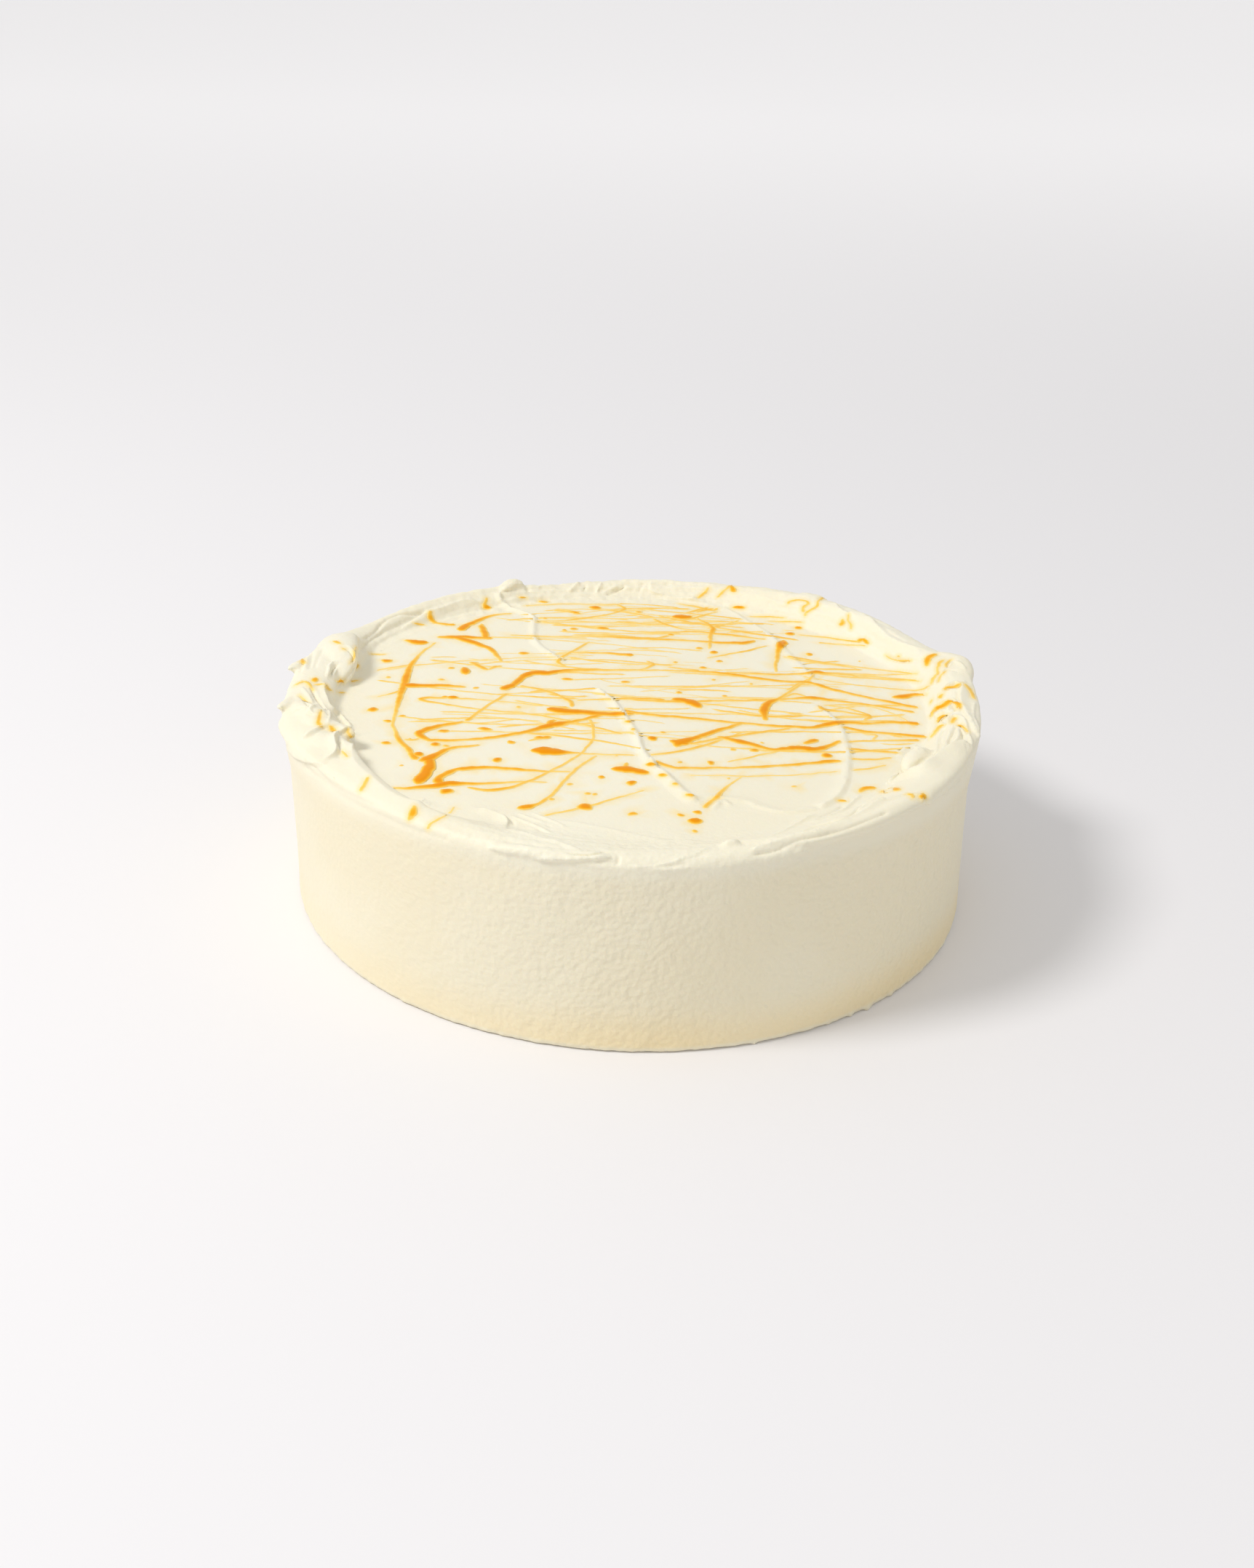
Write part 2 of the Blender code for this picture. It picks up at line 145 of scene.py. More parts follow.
class Wire:
    # One output socket. Sums on it add Math nodes
    def __init__(self, graph, socket):
        self.graph = graph
        self.socket = socket

    def math(self, operation, first, second):
        return self.graph.add("ShaderNodeMath", {"operation": operation}, {0: first, 1: second})

    def __add__(self, other):
        return self.math("ADD", self, other)

    def __radd__(self, other):
        return self.math("ADD", other, self)

    def __sub__(self, other):
        return self.math("SUBTRACT", self, other)

    def __rsub__(self, other):
        return self.math("SUBTRACT", other, self)

    def __mul__(self, other):
        return self.math("MULTIPLY", self, other)

    def __rmul__(self, other):
        return self.math("MULTIPLY", other, self)

    def __truediv__(self, other):
        return self.math("DIVIDE", self, other)

    def __pow__(self, other):
        return self.math("POWER", self, other)

    def least(self, other):
        return self.math("MINIMUM", self, other)

    def most(self, other):
        return self.math("MAXIMUM", self, other)

    def step(self, low, high):
        # 0 below low, 1 above high, eased between
        return self.graph.add(
            "ShaderNodeMapRange",
            {"interpolation_type": "SMOOTHSTEP"},
            {"Value": self, "From Min": low, "From Max": high},
        )


class Graph:
    # A node tree, and the one way to add a node to it
    def __init__(self, tree):
        self.tree = tree

    def add(self, kind, settings=None, values=None, out=""):
        # Gives the output called out, all of them by name for None, or the first
        node = self.tree.nodes.new(kind)
        for name, value in (settings or {}).items():
            if name == "stops":
                self.setStops(node, value)
            else:
                setattr(node, name, value)
        for key, value in (values or {}).items():
            socket = node.inputs[key]
            if isinstance(value, Wire):
                self.tree.links.new(value.socket, socket)
            else:
                socket.default_value = value
        sockets = [socket for socket in node.outputs if socket.enabled]
        wires = {socket.name: Wire(self, socket) for socket in sockets}
        if out is None:
            return wires
        if out:
            return wires[out]
        return Wire(self, sockets[0]) if sockets else None

    def setStops(self, node, stops):
        ramp = node.color_ramp
        while len(ramp.elements) < len(stops):
            ramp.elements.new(1.0)
        for element, (place, colour) in zip(ramp.elements, stops):
            element.position = place
            element.color = colour

    def vector(self, operation, first, second=(0.0, 0.0, 0.0), scale=None):
        values = {0: first, 1: second}
        if scale is not None:
            values["Scale"] = scale
        return self.add("ShaderNodeVectorMath", {"operation": operation}, values)

    def split(self, vector):
        return self.add("ShaderNodeSeparateXYZ", None, {0: vector}, None)

    def join(self, x, y, z):
        return self.add("ShaderNodeCombineXYZ", None, {0: x, 1: y, 2: z})

    def noise(self, place, scale, detail, out="Fac", **more):
        values = {"Vector": place, "Scale": scale, "Detail": detail}
        values.update(more)
        return self.add("ShaderNodeTexNoise", None, values, out)

    def mix(self, factor, first, second):
        # Colours, from the first at factor 0 to the second at 1
        values = {"Factor": factor, "A": first, "B": second}
        return self.add("ShaderNodeMix", {"data_type": "RGBA"}, values, "Result")

    def finish(self, values):
        # The Principled shader, led to the material's surface
        shader = self.add("ShaderNodeBsdfPrincipled", None, values)
        self.add("ShaderNodeOutputMaterial", None, {"Surface": shader})


def linear(red, green, blue):
    # A colour given as it looks on a screen, 0 to 255, as light
    def channel(value):
        part = value / 255.0
        return part / 12.92 if part <= 0.04045 else ((part + 0.055) / 1.055) ** 2.4

    return (channel(red), channel(green), channel(blue), 1.0)


def newShader(name):
    material = bpy.data.materials.new(name)
    material.use_nodes = True
    material.node_tree.nodes.clear()
    return material, Graph(material.node_tree)


def linkObject(name, mesh):
    piece = bpy.data.objects.new(name, mesh)
    bpy.context.scene.collection.objects.link(piece)
    return piece


def readPoints(mesh):
    places = np.empty(len(mesh.vertices) * 3)
    mesh.vertices.foreach_get("co", places)
    return places.reshape(-1, 3)


def writePoints(mesh, places):
    mesh.vertices.foreach_set("co", places.reshape(-1))
    mesh.update()


def readNormals(mesh):
    normals = np.empty(len(mesh.vertices) * 3)
    mesh.vertex_normals.foreach_get("vector", normals)
    return normals.reshape(-1, 3)


def giveValues(mesh, name, values):
    attribute = mesh.attributes.new(name, "FLOAT", "POINT")
    attribute.data.foreach_set("value", values)


def ease(part):
    part = np.clip(part, 0.0, 1.0)
    return part * part * (3.0 - 2.0 * part)


def hermite(first, second, slopeFirst, slopeSecond, part):
    square = part * part
    cube = square * part
    return (
        first * (2 * cube - 3 * square + 1)
        + slopeFirst * (cube - 2 * square + part)
        + second * (3 * square - 2 * cube)
        + slopeSecond * (cube - square)
    )


def smoothPath(points, step):
    # A smooth curve through rows of values, the first two or three of them a place
    rows = np.array(points, dtype=float)
    dims = 3 if rows.shape[1] > 3 else 2
    path = []
    for index in range(len(rows) - 1):
        before = rows[max(index - 1, 0)]
        here = rows[index]
        after = rows[index + 1]
        beyond = rows[min(index + 2, len(rows) - 1)]
        length = np.linalg.norm(after[:dims] - here[:dims])
        pieces = max(1, int(round(length / step)))
        for piece in range(pieces):
            path.append(hermite(here, after, (after - before) / 2, (beyond - here) / 2, piece / pieces))
    path.append(rows[-1])
    return np.array(path)


# Whipped cream coat: the drum and its rim, then lumps and swipes laid on, all melted together

coat = {
    "columns": 420,
    "wallRows": 22,  # rows of points up the wall
    "flareRows": 16,
    "shoulderRows": 7,
    "slopeRows": 18,
    "topRows": 60,
    "firstRow": 0.06,  # where the rows of the flare and of the rim's slope start, as a part of each
    "firstShoulder": 0.15,
    "topEnds": (0.97, 0.03),
    "wallTaper": 0.023,
    "footRound": 1.6,
    "footBend": 0.3,  # height of the bend of that round, as a part of it
    "lean": (199.0, 34.0, 2.7),  # the wall leans out at this angle, over this spread, by this much
    "leanPower": 1.5,  # over 1 for a lean that comes late up the wall
    "flareStart": 57.0,  # the wall leans out under the rim from this height
    "flareEarly": 0.2,  # how much sooner than evenly it does
    "domePower": 3.5,  # how late a full rim falls to its inner foot
    "voxel": 0.85,
    "softening": 0.5,
    "softenings": 3,
    "fineFrom": 98.0,  # radius outside which the cream is split finer
    "fineAbove": 67.0,
    "mostTriangles": 186000,
}

# Rim, anticlockwise from the right. At each angle in degrees: radius and height of the crest,
# how far the lip stands past the wall, the radius of the rim's inner foot, how full the slope
# between them is, from 0 for a soft slope to 1 for a dome with a steep foot, and how far below
# the crest the widest place of the lip lies
rim = (
    (0, 128.3, 82.3, 2.6, 114, 0.8, 1.6),  # right folds
    (12, 128.8, 83.6, 3.6, 115, 0.8, 1.6),
    (24, 124.0, 82.0, 0.6, 114, 0.5, 2.4),
    (40, 123.0, 82.0, 0.6, 113, 0.3, 3.8),  # thick roll at the back right
    (56, 124.0, 81.5, 1.2, 113, 0.3, 3.8),
    (70, 125.5, 79.3, 0.0, 114, 0.2, 3.8),
    (90, 126.0, 77.3, 0.0, 117, 0.1, 3.8),  # broad rough band at the back
    (107, 125.5, 75.4, 0.0, 117, 0.2, 3.8),
    (118, 126.0, 77.5, 0.0, 117, 0.3, 3.8),
    (132, 128.0, 77.5, 0.0, 118, 0.4, 3.8),  # smooth ridge at the back left
    (152, 129.0, 77.0, 0.8, 119, 0.6, 3.8),
    (163, 127.5, 80.0, 2.6, 114, 1.0, 3.8),  # left bulge
    (176, 126.5, 80.5, 3.2, 113, 1.0, 3.2),
    (188, 126.5, 78.8, 4.6, 114, 0.9, 3.2),
    (200, 124.0, 79.5, 5.5, 112.5, 0.9, 3.8),  # left ruffles
    (210, 118.5, 79.6, 4.0, 114.5, 0.7, 3.8),
    (220, 120.5, 78.5, 2.2, 117, 0.6, 3.8),  # smooth band with a sharp inner crest
    (232, 122.0, 76.4, 0.8, 118.5, 0.4, 3.8),
    (246, 122.5, 75.0, 0.0, 112, 0.1, 3.8),  # low streaked front
    (268, 124.5, 74.4, 0.0, 110, 0.0, 3.8),
    (288, 124.5, 75.2, 0.0, 110, 0.0, 3.8),
    (303, 125.5, 77.5, 0.3, 112, 0.3, 3.8),  # ribbon at the front right
    (320, 127.0, 80.0, 2.2, 112, 0.4, 2.6),
    (340, 128.5, 81.6, 2.8, 112, 0.7, 2.0),
)

lumpMake = {
    "step": 1.5,  # between the rings of a lump
    "sides": 20,
    "tilt": 0.25,  # how far it leans out from upright
    "pointedCut": 0.04,  # how much of a pointed end is left off, as a part of the length
    "roundCut": 0.02,
    "roundPower": 4,
}

# Lumps of cream on the rim: path as (angle, radius, height), then the widest width, the
# thickness and how blunt the ends are, from 0 for pointed to 1
lumps = (
    (((158, 129, 75), (163, 126.5, 77.5), (170, 121, 77.8), (177, 116.5, 74)), 18, 9, 0.8),  # left bulge
    (((169, 130, 77.5), (174, 132, 78.6), (178.2, 135.2, 80)), 5.5, 3.2, 0.15),
    (((186, 131, 76.5), (190, 133, 77.4), (192.8, 135.8, 79)), 5.5, 3.2, 0.15),
    (((189, 130, 77), (195, 126, 78.8), (202, 118.5, 79)), 9, 5, 0.2),
    (((196, 130, 77), (201.5, 122, 79), (205.8, 113, 78.2)), 9, 5, 0.2),
    (((192, 133, 74), (200, 130, 76), (207, 126, 77.5), (212, 121, 77)), 13, 6, 0.7),
    # ball at the front right
    (((329.5, 115.5, 74.5), (333.5, 114.5, 76.4), (338, 116.5, 76.8)), 9.5, 7.4, 0.6),
    # corner at the right
    (((5, 129, 80.4), (10, 132, 81.8), (14, 133, 82.4), (18.5, 128.5, 81.6)), 8.5, 5.4, 0.6),
    (((286, 119, 74.2), (292, 124.5, 75.2), (300, 128, 76.4), (310, 129.6, 77.4), (322, 130.5, 78.6),
      (335, 131.5, 79)), 6.5, 4.4, 0.5),
    (((409.5, 127.5, 78), (413.5, 127.2, 79.8), (417.5, 125, 78.6)), 9.5, 5.6, 0.6),  # knob at the back right
    (((114, 127, 76.6), (116.5, 126, 78), (119.5, 124, 76.6)), 6.5, 4.4, 0.7),  # knob at the back left
    (((249, 129.4, 73), (256, 128.6, 73.4), (262, 127.8, 73.6), (267.5, 126.8, 73.7)), 4.2, 3, 0.95),
    (((284.3, 122, 74.4), (285.6, 121.8, 76), (287.4, 122.2, 75.6)), 2.6, 2, 0.7),  # torn flake at the front
)

# Bits of cream pressed out at the foot, at the front right
flecks = {
    "count": 6,
    "seed": 5,
    "angles": (290.0, 319.0),
    "sizes": (1.6, 2.3),
    "sunk": (0.4, 0.8),  # how far they stand back from the foot's edge
    "reach": 0.3,  # degrees to each side for a size of 1 mm
    "height": 0.35,  # of the middle, as a part of the size
    "width": 1.2,
}


def rimAt(angles):
    # The rim's sizes at every angle, smooth all the way round
    table = np.array(rim, dtype=float)
    count = len(table)
    places = np.mod(angles, 360.0)
    index = np.searchsorted(table[:, 0], places, side="right") - 1

    def row(offset):
        slot = index + offset
        values = table[np.mod(slot, count)].copy()
        values[:, 0] += 360.0 * np.floor_divide(slot, count)
        return values

    before, here, after, beyond = row(-1), row(0), row(1), row(2)
    span = after[:, :1] - here[:, :1]
    part = (places[:, None] - here[:, :1]) / span
    slopeHere = (after - before) / (after[:, :1] - before[:, :1]) * span
    slopeAfter = (beyond - here) / (beyond[:, :1] - here[:, :1]) * span
    return hermite(here, after, slopeHere, slopeAfter, part)[:, 1:]


def wallRadius(height):
    return baseRadius - coat["wallTaper"] * height


def coatOutline(angles):
    # Rows of (radius, height) for every angle, from the base's edge up, over the rim and in
    crestRadius, crestHeight, lip, footRadius, full, drop = rimAt(angles).T
    lip = np.maximum(lip, 0.0)
    full = np.clip(full, 0.0, 1.0)
    one = np.ones_like(angles)
    middle, spread, most = coat["lean"]
    lean = most * np.exp(-(((angles - middle) / spread) ** 2))
    foot, bend, flare = coat["footRound"], coat["footBend"], coat["flareStart"]
    rows = [
        ((baseRadius - foot) * one, 0.0 * one),
        ((baseRadius - bend * foot) * one, bend * foot * one),
    ]
    for height in np.linspace(foot, flare, coat["wallRows"]):
        rows.append((wallRadius(height) + lean * (height / flare) ** coat["leanPower"], height * one))
    lipHeight = crestHeight - drop
    early = coat["flareEarly"]
    for part in np.linspace(coat["firstRow"], 1.0, coat["flareRows"]):
        height = flare + (lipHeight - flare) * part
        out = lean * (1.0 - part) + lip * part * (1.0 + early - early * part)
        rows.append((wallRadius(height) + out, height))
    lipRadius = wallRadius(lipHeight) + lip
    for part in np.linspace(coat["firstShoulder"], 1.0, coat["shoulderRows"]):
        turn = part * math.pi / 2  # round the lip's shoulder to the crest
        radius = crestRadius + (lipRadius - crestRadius) * math.cos(turn)
        rows.append((radius, lipHeight + drop * math.sin(turn)))
    for part in np.linspace(coat["firstRow"], 1.0, coat["slopeRows"]):
        fall = (1.0 - full) * ease(part) + full * part ** coat["domePower"]
        radius = crestRadius + (footRadius - crestRadius) * part
        rows.append((radius, crestHeight + (flatTop - crestHeight) * fall))
    for part in np.linspace(*coat["topEnds"], coat["topRows"]):
        rows.append((footRadius * part, flatTop * one))
    return rows


def shellMesh(name, rings):
    # Closed mesh over rings of points, each end shut by a fan
    count = len(rings[0])
    points = [tuple(point) for ring in rings for point in ring]
    faces = []
    for row in range(len(rings) - 1):
        for place in range(count):
            after = (place + 1) % count
            low = row * count
            faces.append((low + place, low + after, low + count + after, low + count + place))
    for row, flip in ((0, True), (len(rings) - 1, False)):
        points.append(tuple(np.mean(np.array(rings[row]), axis=0)))
        pole = len(points) - 1
        for place in range(count):
            near = row * count + place
            far = row * count + (place + 1) % count
            faces.append((far, near, pole) if flip else (near, far, pole))
    mesh = bpy.data.meshes.new(name)
    mesh.from_pydata(points, [], faces)
    mesh.update()
    return mesh


def drumMesh():
    angles = np.arange(coat["columns"]) * 360.0 / coat["columns"]
    turns = np.radians(angles)
    rings = []
    for radius, height in coatOutline(angles):
        rings.append(np.stack([radius * np.cos(turns), radius * np.sin(turns), height], 1) * mm)
    return shellMesh("drum", rings)


def rimPoint(angle, radius, height):
    turn = math.radians(angle)
    return (radius * math.cos(turn), radius * math.sin(turn), height)


def lumpFullness(along, blunt):
    # How wide a lump is at a part of its length, from 0 to 1 at its widest
    pointedCut, roundCut = lumpMake["pointedCut"], lumpMake["roundCut"]
    pointed = math.sin(math.pi * (pointedCut + (1.0 - 2.0 * pointedCut) * along))
    aside = abs(2.0 * (roundCut + (1.0 - 2.0 * roundCut) * along) - 1.0)
    rounded = (1.0 - aside ** lumpMake["roundPower"]) ** 0.5
    return pointed + (rounded - pointed) * blunt


def lumpMesh(number, lump):
    points, width, thickness, blunt = lump
    path = smoothPath([rimPoint(*point) + (0.0,) for point in points], lumpMake["step"])[:, :3]
    rings = []
    for index, centre in enumerate(path):
        ahead = path[min(index + 1, len(path) - 1)] - path[max(index - 1, 0)]
        ahead = ahead / np.linalg.norm(ahead)
        out = np.array([centre[0], centre[1], 0.0])
        up = np.array([0.0, 0.0, 1.0]) + lumpMake["tilt"] * out / np.linalg.norm(out)
        across = np.cross(ahead, up)
        across = across / np.linalg.norm(across)
        up = np.cross(across, ahead)
        full = lumpFullness(index / (len(path) - 1), blunt)
        ring = []
        for side in range(lumpMake["sides"]):
            turn = 2.0 * math.pi * side / lumpMake["sides"]
            wide = across * (0.5 * width * full * math.cos(turn))
            ring.append(centre + wide + up * (0.5 * thickness * full * math.sin(turn)))
        rings.append(np.array(ring) * mm)
    return shellMesh("lump%02d" % number, rings)


def footFlecks():
    draw = random.Random(flecks["seed"])
    bits = []
    for number in range(flecks["count"]):
        angle = draw.uniform(*flecks["angles"])
        size = draw.uniform(*flecks["sizes"])
        ends = []
        for turn in (-flecks["reach"] * size, flecks["reach"] * size):
            back = draw.uniform(*flecks["sunk"])
            ends.append((angle + turn, baseRadius - back, flecks["height"] * size))
        bits.append((ends, flecks["width"] * size, size, 1.0))
    return bits


def joinMeshes(name, meshes):
    bm = bmesh.new()
    for mesh in meshes:
        bm.from_mesh(mesh)
        bpy.data.meshes.remove(mesh)
    bmesh.ops.recalc_face_normals(bm, faces=bm.faces[:])
    joined = bpy.data.meshes.new(name)
    bm.to_mesh(joined)
    bm.free()
    return joined


def applyModifiers(piece):
    bpy.context.view_layer.update()
    graph = bpy.context.evaluated_depsgraph_get()
    mesh = bpy.data.meshes.new_from_object(piece.evaluated_get(graph))
    piece.modifiers.clear()
    old = piece.data
    piece.data = mesh
    bpy.data.meshes.remove(old)
    return mesh


def meltTogether(piece):
    melt = piece.modifiers.new("melt", "REMESH")
    melt.mode = "VOXEL"
    melt.voxel_size = coat["voxel"] * mm
    soften = piece.modifiers.new("soften", "SMOOTH")
    soften.factor = coat["softening"]
    soften.iterations = coat["softenings"]
    return applyModifiers(piece)


# Folds, lips and grooves worked in the coat. Paths are places on the level of the flat top, as
# the camera sees them, and run over whatever stands there. Each has a height, less than 0 for a
# groove, then how far it reaches on its left and its right; a short reach makes a steep lip

foldWork = {
    "step": 0.7,  # between the points of a laid path
    "search": 1.3,  # how far round it points are looked for, as a part of its reach
    "steepness": 1.6,
    "runOut": 3.5,  # a fold dies away over this length at its ends
    "endRest": 0.8,  # how far into that its ends already are
    "evenness": 0.8,
    "lumps": 0.35,
    "lumpSize": 7.0,
}

topRidges = (
    (((-62, 117), (-61, 108), (-57, 100), (-50, 94), (-45, 88), (-44, 75), (-43, 63), (-38, 52),
      (-30, 40)), 1.7, 2.2, 2.8),
    (((-16, 15), (-10, 5), (-6, -5), (-3, -15), (1, -28), (3, -40), (6, -50), (8, -56)), 2, 2.4, 3),
    (((6, -50), (8, -56.4), (10.7, -60), (13.7, -65.8), (16.7, -72.3), (19.5, -77.5),
      (23, -81)), 2.5, 3.4, 4.2),
    (((22, -79), (28, -78), (35.4, -78.4), (40.5, -79.5), (44.1, -83), (50.3, -86), (56.6, -86),
      (65, -83)), 1, 4.5, 1.4),
    (((22, 118), (30, 113), (40, 105), (48, 92), (55, 80), (60, 66), (65, 52), (72, 30)), 1.1, 2.4, 5),
    (((71, 5), (78, -10), (79.5, -25), (79.5, -40), (78.1, -51.5), (76.9, -60.5), (74.4, -69.5),
      (70.9, -76.4), (65.7, -82.5)), 1.4, 2.1, 5.5),
)

leftFolds = pickedFolds("left", (
    (((345, 250), (320, 330), (285, 420), (262, 520)), -0.7, 1.4, 1.4),  # bulge
    (((430, 230), (400, 300), (380, 400), (360, 480)), -0.8, 1.5, 1.5),
    (((385, 235), (360, 310), (335, 400), (310, 480)), 0.7, 1.3, 1.3),
    (((520, 240), (480, 320), (440, 400), (420, 470)), -0.7, 1.5, 1.5),
    (((700, 215), (790, 230), (850, 300), (862, 400)), 1, 0.9, 1.2),
    (((735, 250), (800, 280), (845, 350), (838, 400)), -1.2, 0.9, 0.9),
    (((550, 570), (570, 500), (575, 460), (610, 415), (680, 398)), 1.3, 1, 2.2),
    (((600, 550), (620, 500), (650, 455), (680, 430)), -1.4, 1.1, 1.1),
    (((615, 545), (640, 515), (660, 470)), 0.9, 0.9, 0.9),
    (((660, 700), (720, 640), (800, 555), (868, 462)), -1, 1.8, 1.8),
    (((520, 640), (525, 760), (560, 855), (600, 915), (660, 962), (760, 1058),
      (820, 1120)), 2, 1.6, 2.2),  # inner crest below it
    (((380, 680), (430, 770), (480, 840), (540, 910), (580, 930)), -2.2, 1.2, 1.2),
    (((250, 770), (300, 800), (330, 850), (370, 880)), -2, 1.2, 1.2),
    (((620, 965), (680, 1040), (720, 1080)), -1.8, 1.1, 1.1),
    (((190, 655), (250, 630), (300, 615), (345, 640), (380, 672)), 1, 1.2, 1.8),
    (((290, 690), (350, 770), (400, 850)), 1.2, 1.2, 1.5),
    (((450, 865), (400, 895), (372, 935), (400, 972)), 1.2, 1.1, 1.5),
    (((340, 882), (270, 902), (205, 925)), -1.4, 1.2, 1.2),
    (((420, 985), (370, 975), (330, 960)), -1, 1.2, 1.2),
    (((505, 925), (560, 922), (582, 960), (583, 1030), (562, 1078)), 1.4, 1, 1),
    (((492, 935), (478, 1000), (462, 1075), (520, 1108)), -1.2, 1.1, 1.1),
    (((600, 1100), (540, 1110), (500, 1130), (400, 1190), (300, 1250)), 2, 1.2, 4),  # first fold
    (((600, 1112), (630, 1170), (665, 1185)), -1.6, 1.3, 1.3),
    (((825, 1135), (760, 1150), (680, 1190), (640, 1240), (650, 1290), (670, 1340), (660, 1390),
      (600, 1450), (520, 1480)), 2.2, 1.2, 4),  # second fold
    (((680, 1250), (690, 1320), (700, 1400), (670, 1450)), -1.3, 2, 2),
    (((832, 1135), (838, 1250), (832, 1380)), 1, 1, 2),
    # lobe below them
    (((20, 1220), (80, 1320), (160, 1400), (280, 1480), (400, 1520), (550, 1530)), 1.3, 7, 1.4),
))

frontLeftFolds = (
    (((-106, -31), (-105, -36), (-104, -42), (-102.5, -49), (-101, -56), (-98.5, -62), (-95, -67.5),
      (-91, -73.5), (-87.5, -78.5), (-84, -83), (-80, -86.5), (-75, -89.5), (-69, -91)), 1.2, 3, 5),
    (((-118, -58), (-112, -68), (-107, -76), (-101, -83), (-94, -88.5), (-86, -94)), -0.7, 2.5, 2.5),
    (((-118, -64), (-110, -74), (-102, -85), (-94, -93), (-85, -100), (-74, -109),
      (-60, -116)), -0.6, 2.5, 2.5),
)
frontLeftFolds += pickedFolds("frontLeft", (
    (((120, 70), (240, 105), (320, 145), (350, 185), (335, 235)), 1.8, 1.1, 4.5),  # end of the long swipe
    (((335, 238), (450, 272), (600, 312), (750, 348), (880, 392), (950, 420)), 1.2, 1.2, 2),
    (((365, 150), (390, 175), (400, 210)), -1.3, 1.1, 1.1),
    (((380, 130), (500, 182), (620, 232), (720, 282)), 0.8, 0.9, 1.1),
    (((440, 110), (560, 160), (655, 190)), 0.8, 0.9, 1),
    (((670, 205), (700, 225)), -1.2, 1.2, 1.2),
    (((560, 110), (650, 150), (750, 190), (830, 230)), 0.8, 0.9, 1.2),
    (((590, 240), (640, 262)), -0.9, 1.4, 1.4),
    (((740, 168), (900, 188), (1100, 220), (1300, 262), (1500, 302), (1700, 332),
      (1900, 335)), 0.5, 0.8, 3),  # edge of the rough band
    # rolled tube
    (((560, 478), (700, 482), (850, 485), (1000, 482), (1120, 474), (1215, 478)), 1.1, 1.6, 1.6),
    (((820, 430), (920, 445), (1020, 450), (1110, 436), (1180, 428)), -1.3, 1, 1),
    (((1252, 455), (1262, 490), (1250, 530)), -1.2, 1.1, 1.1),
    (((1400, 546), (1560, 541), (1700, 516), (1800, 488), (1920, 452)), 0.6, 1.1, 1.4),
    (((1560, 571), (1700, 570), (1800, 558), (1900, 541)), 0.5, 1.1, 1.6),
    (((1600, 552), (1720, 540), (1860, 505)), -0.4, 1.1, 1.1),
))

frontRightFolds = pickedFolds("frontRight", (
    (((150, 802), (300, 752), (450, 702)), 0.8, 0.9, 1.1),  # streaks left of the flake
    (((170, 815), (300, 778), (440, 735)), -0.5, 1.1, 1.1),
    (((800, 712), (900, 680), (1050, 622), (1200, 580), (1350, 556), (1500, 500), (1650, 440),
      (1800, 350), (1900, 300)), 1.2, 1.3, 2.4),  # ribbon
    (((820, 752), (1000, 718), (1200, 630), (1400, 590), (1600, 530), (1920, 400)), -1, 1.4, 1.4),
    (((950, 600), (1050, 560), (1150, 505), (1262, 445), (1330, 420)), 0.9, 1, 1.4),
    (((1230, 553), (1330, 512), (1450, 480), (1560, 450), (1640, 402), (1720, 332)), -1.7, 1.3, 1.3),
    (((1300, 480), (1450, 430), (1560, 380), (1640, 310), (1700, 262)), 1, 1, 1.3),
    (((1350, 445), (1470, 395), (1560, 340)), -0.8, 0.9, 0.9),
    (((1150, 742), (1300, 702), (1450, 652), (1650, 590), (1900, 502)), 0.5, 3, 1),  # step on the wall
    (((480, 372), (520, 335), (560, 315), (600, 325), (625, 345)), 1.7, 1.1, 1.6),
))

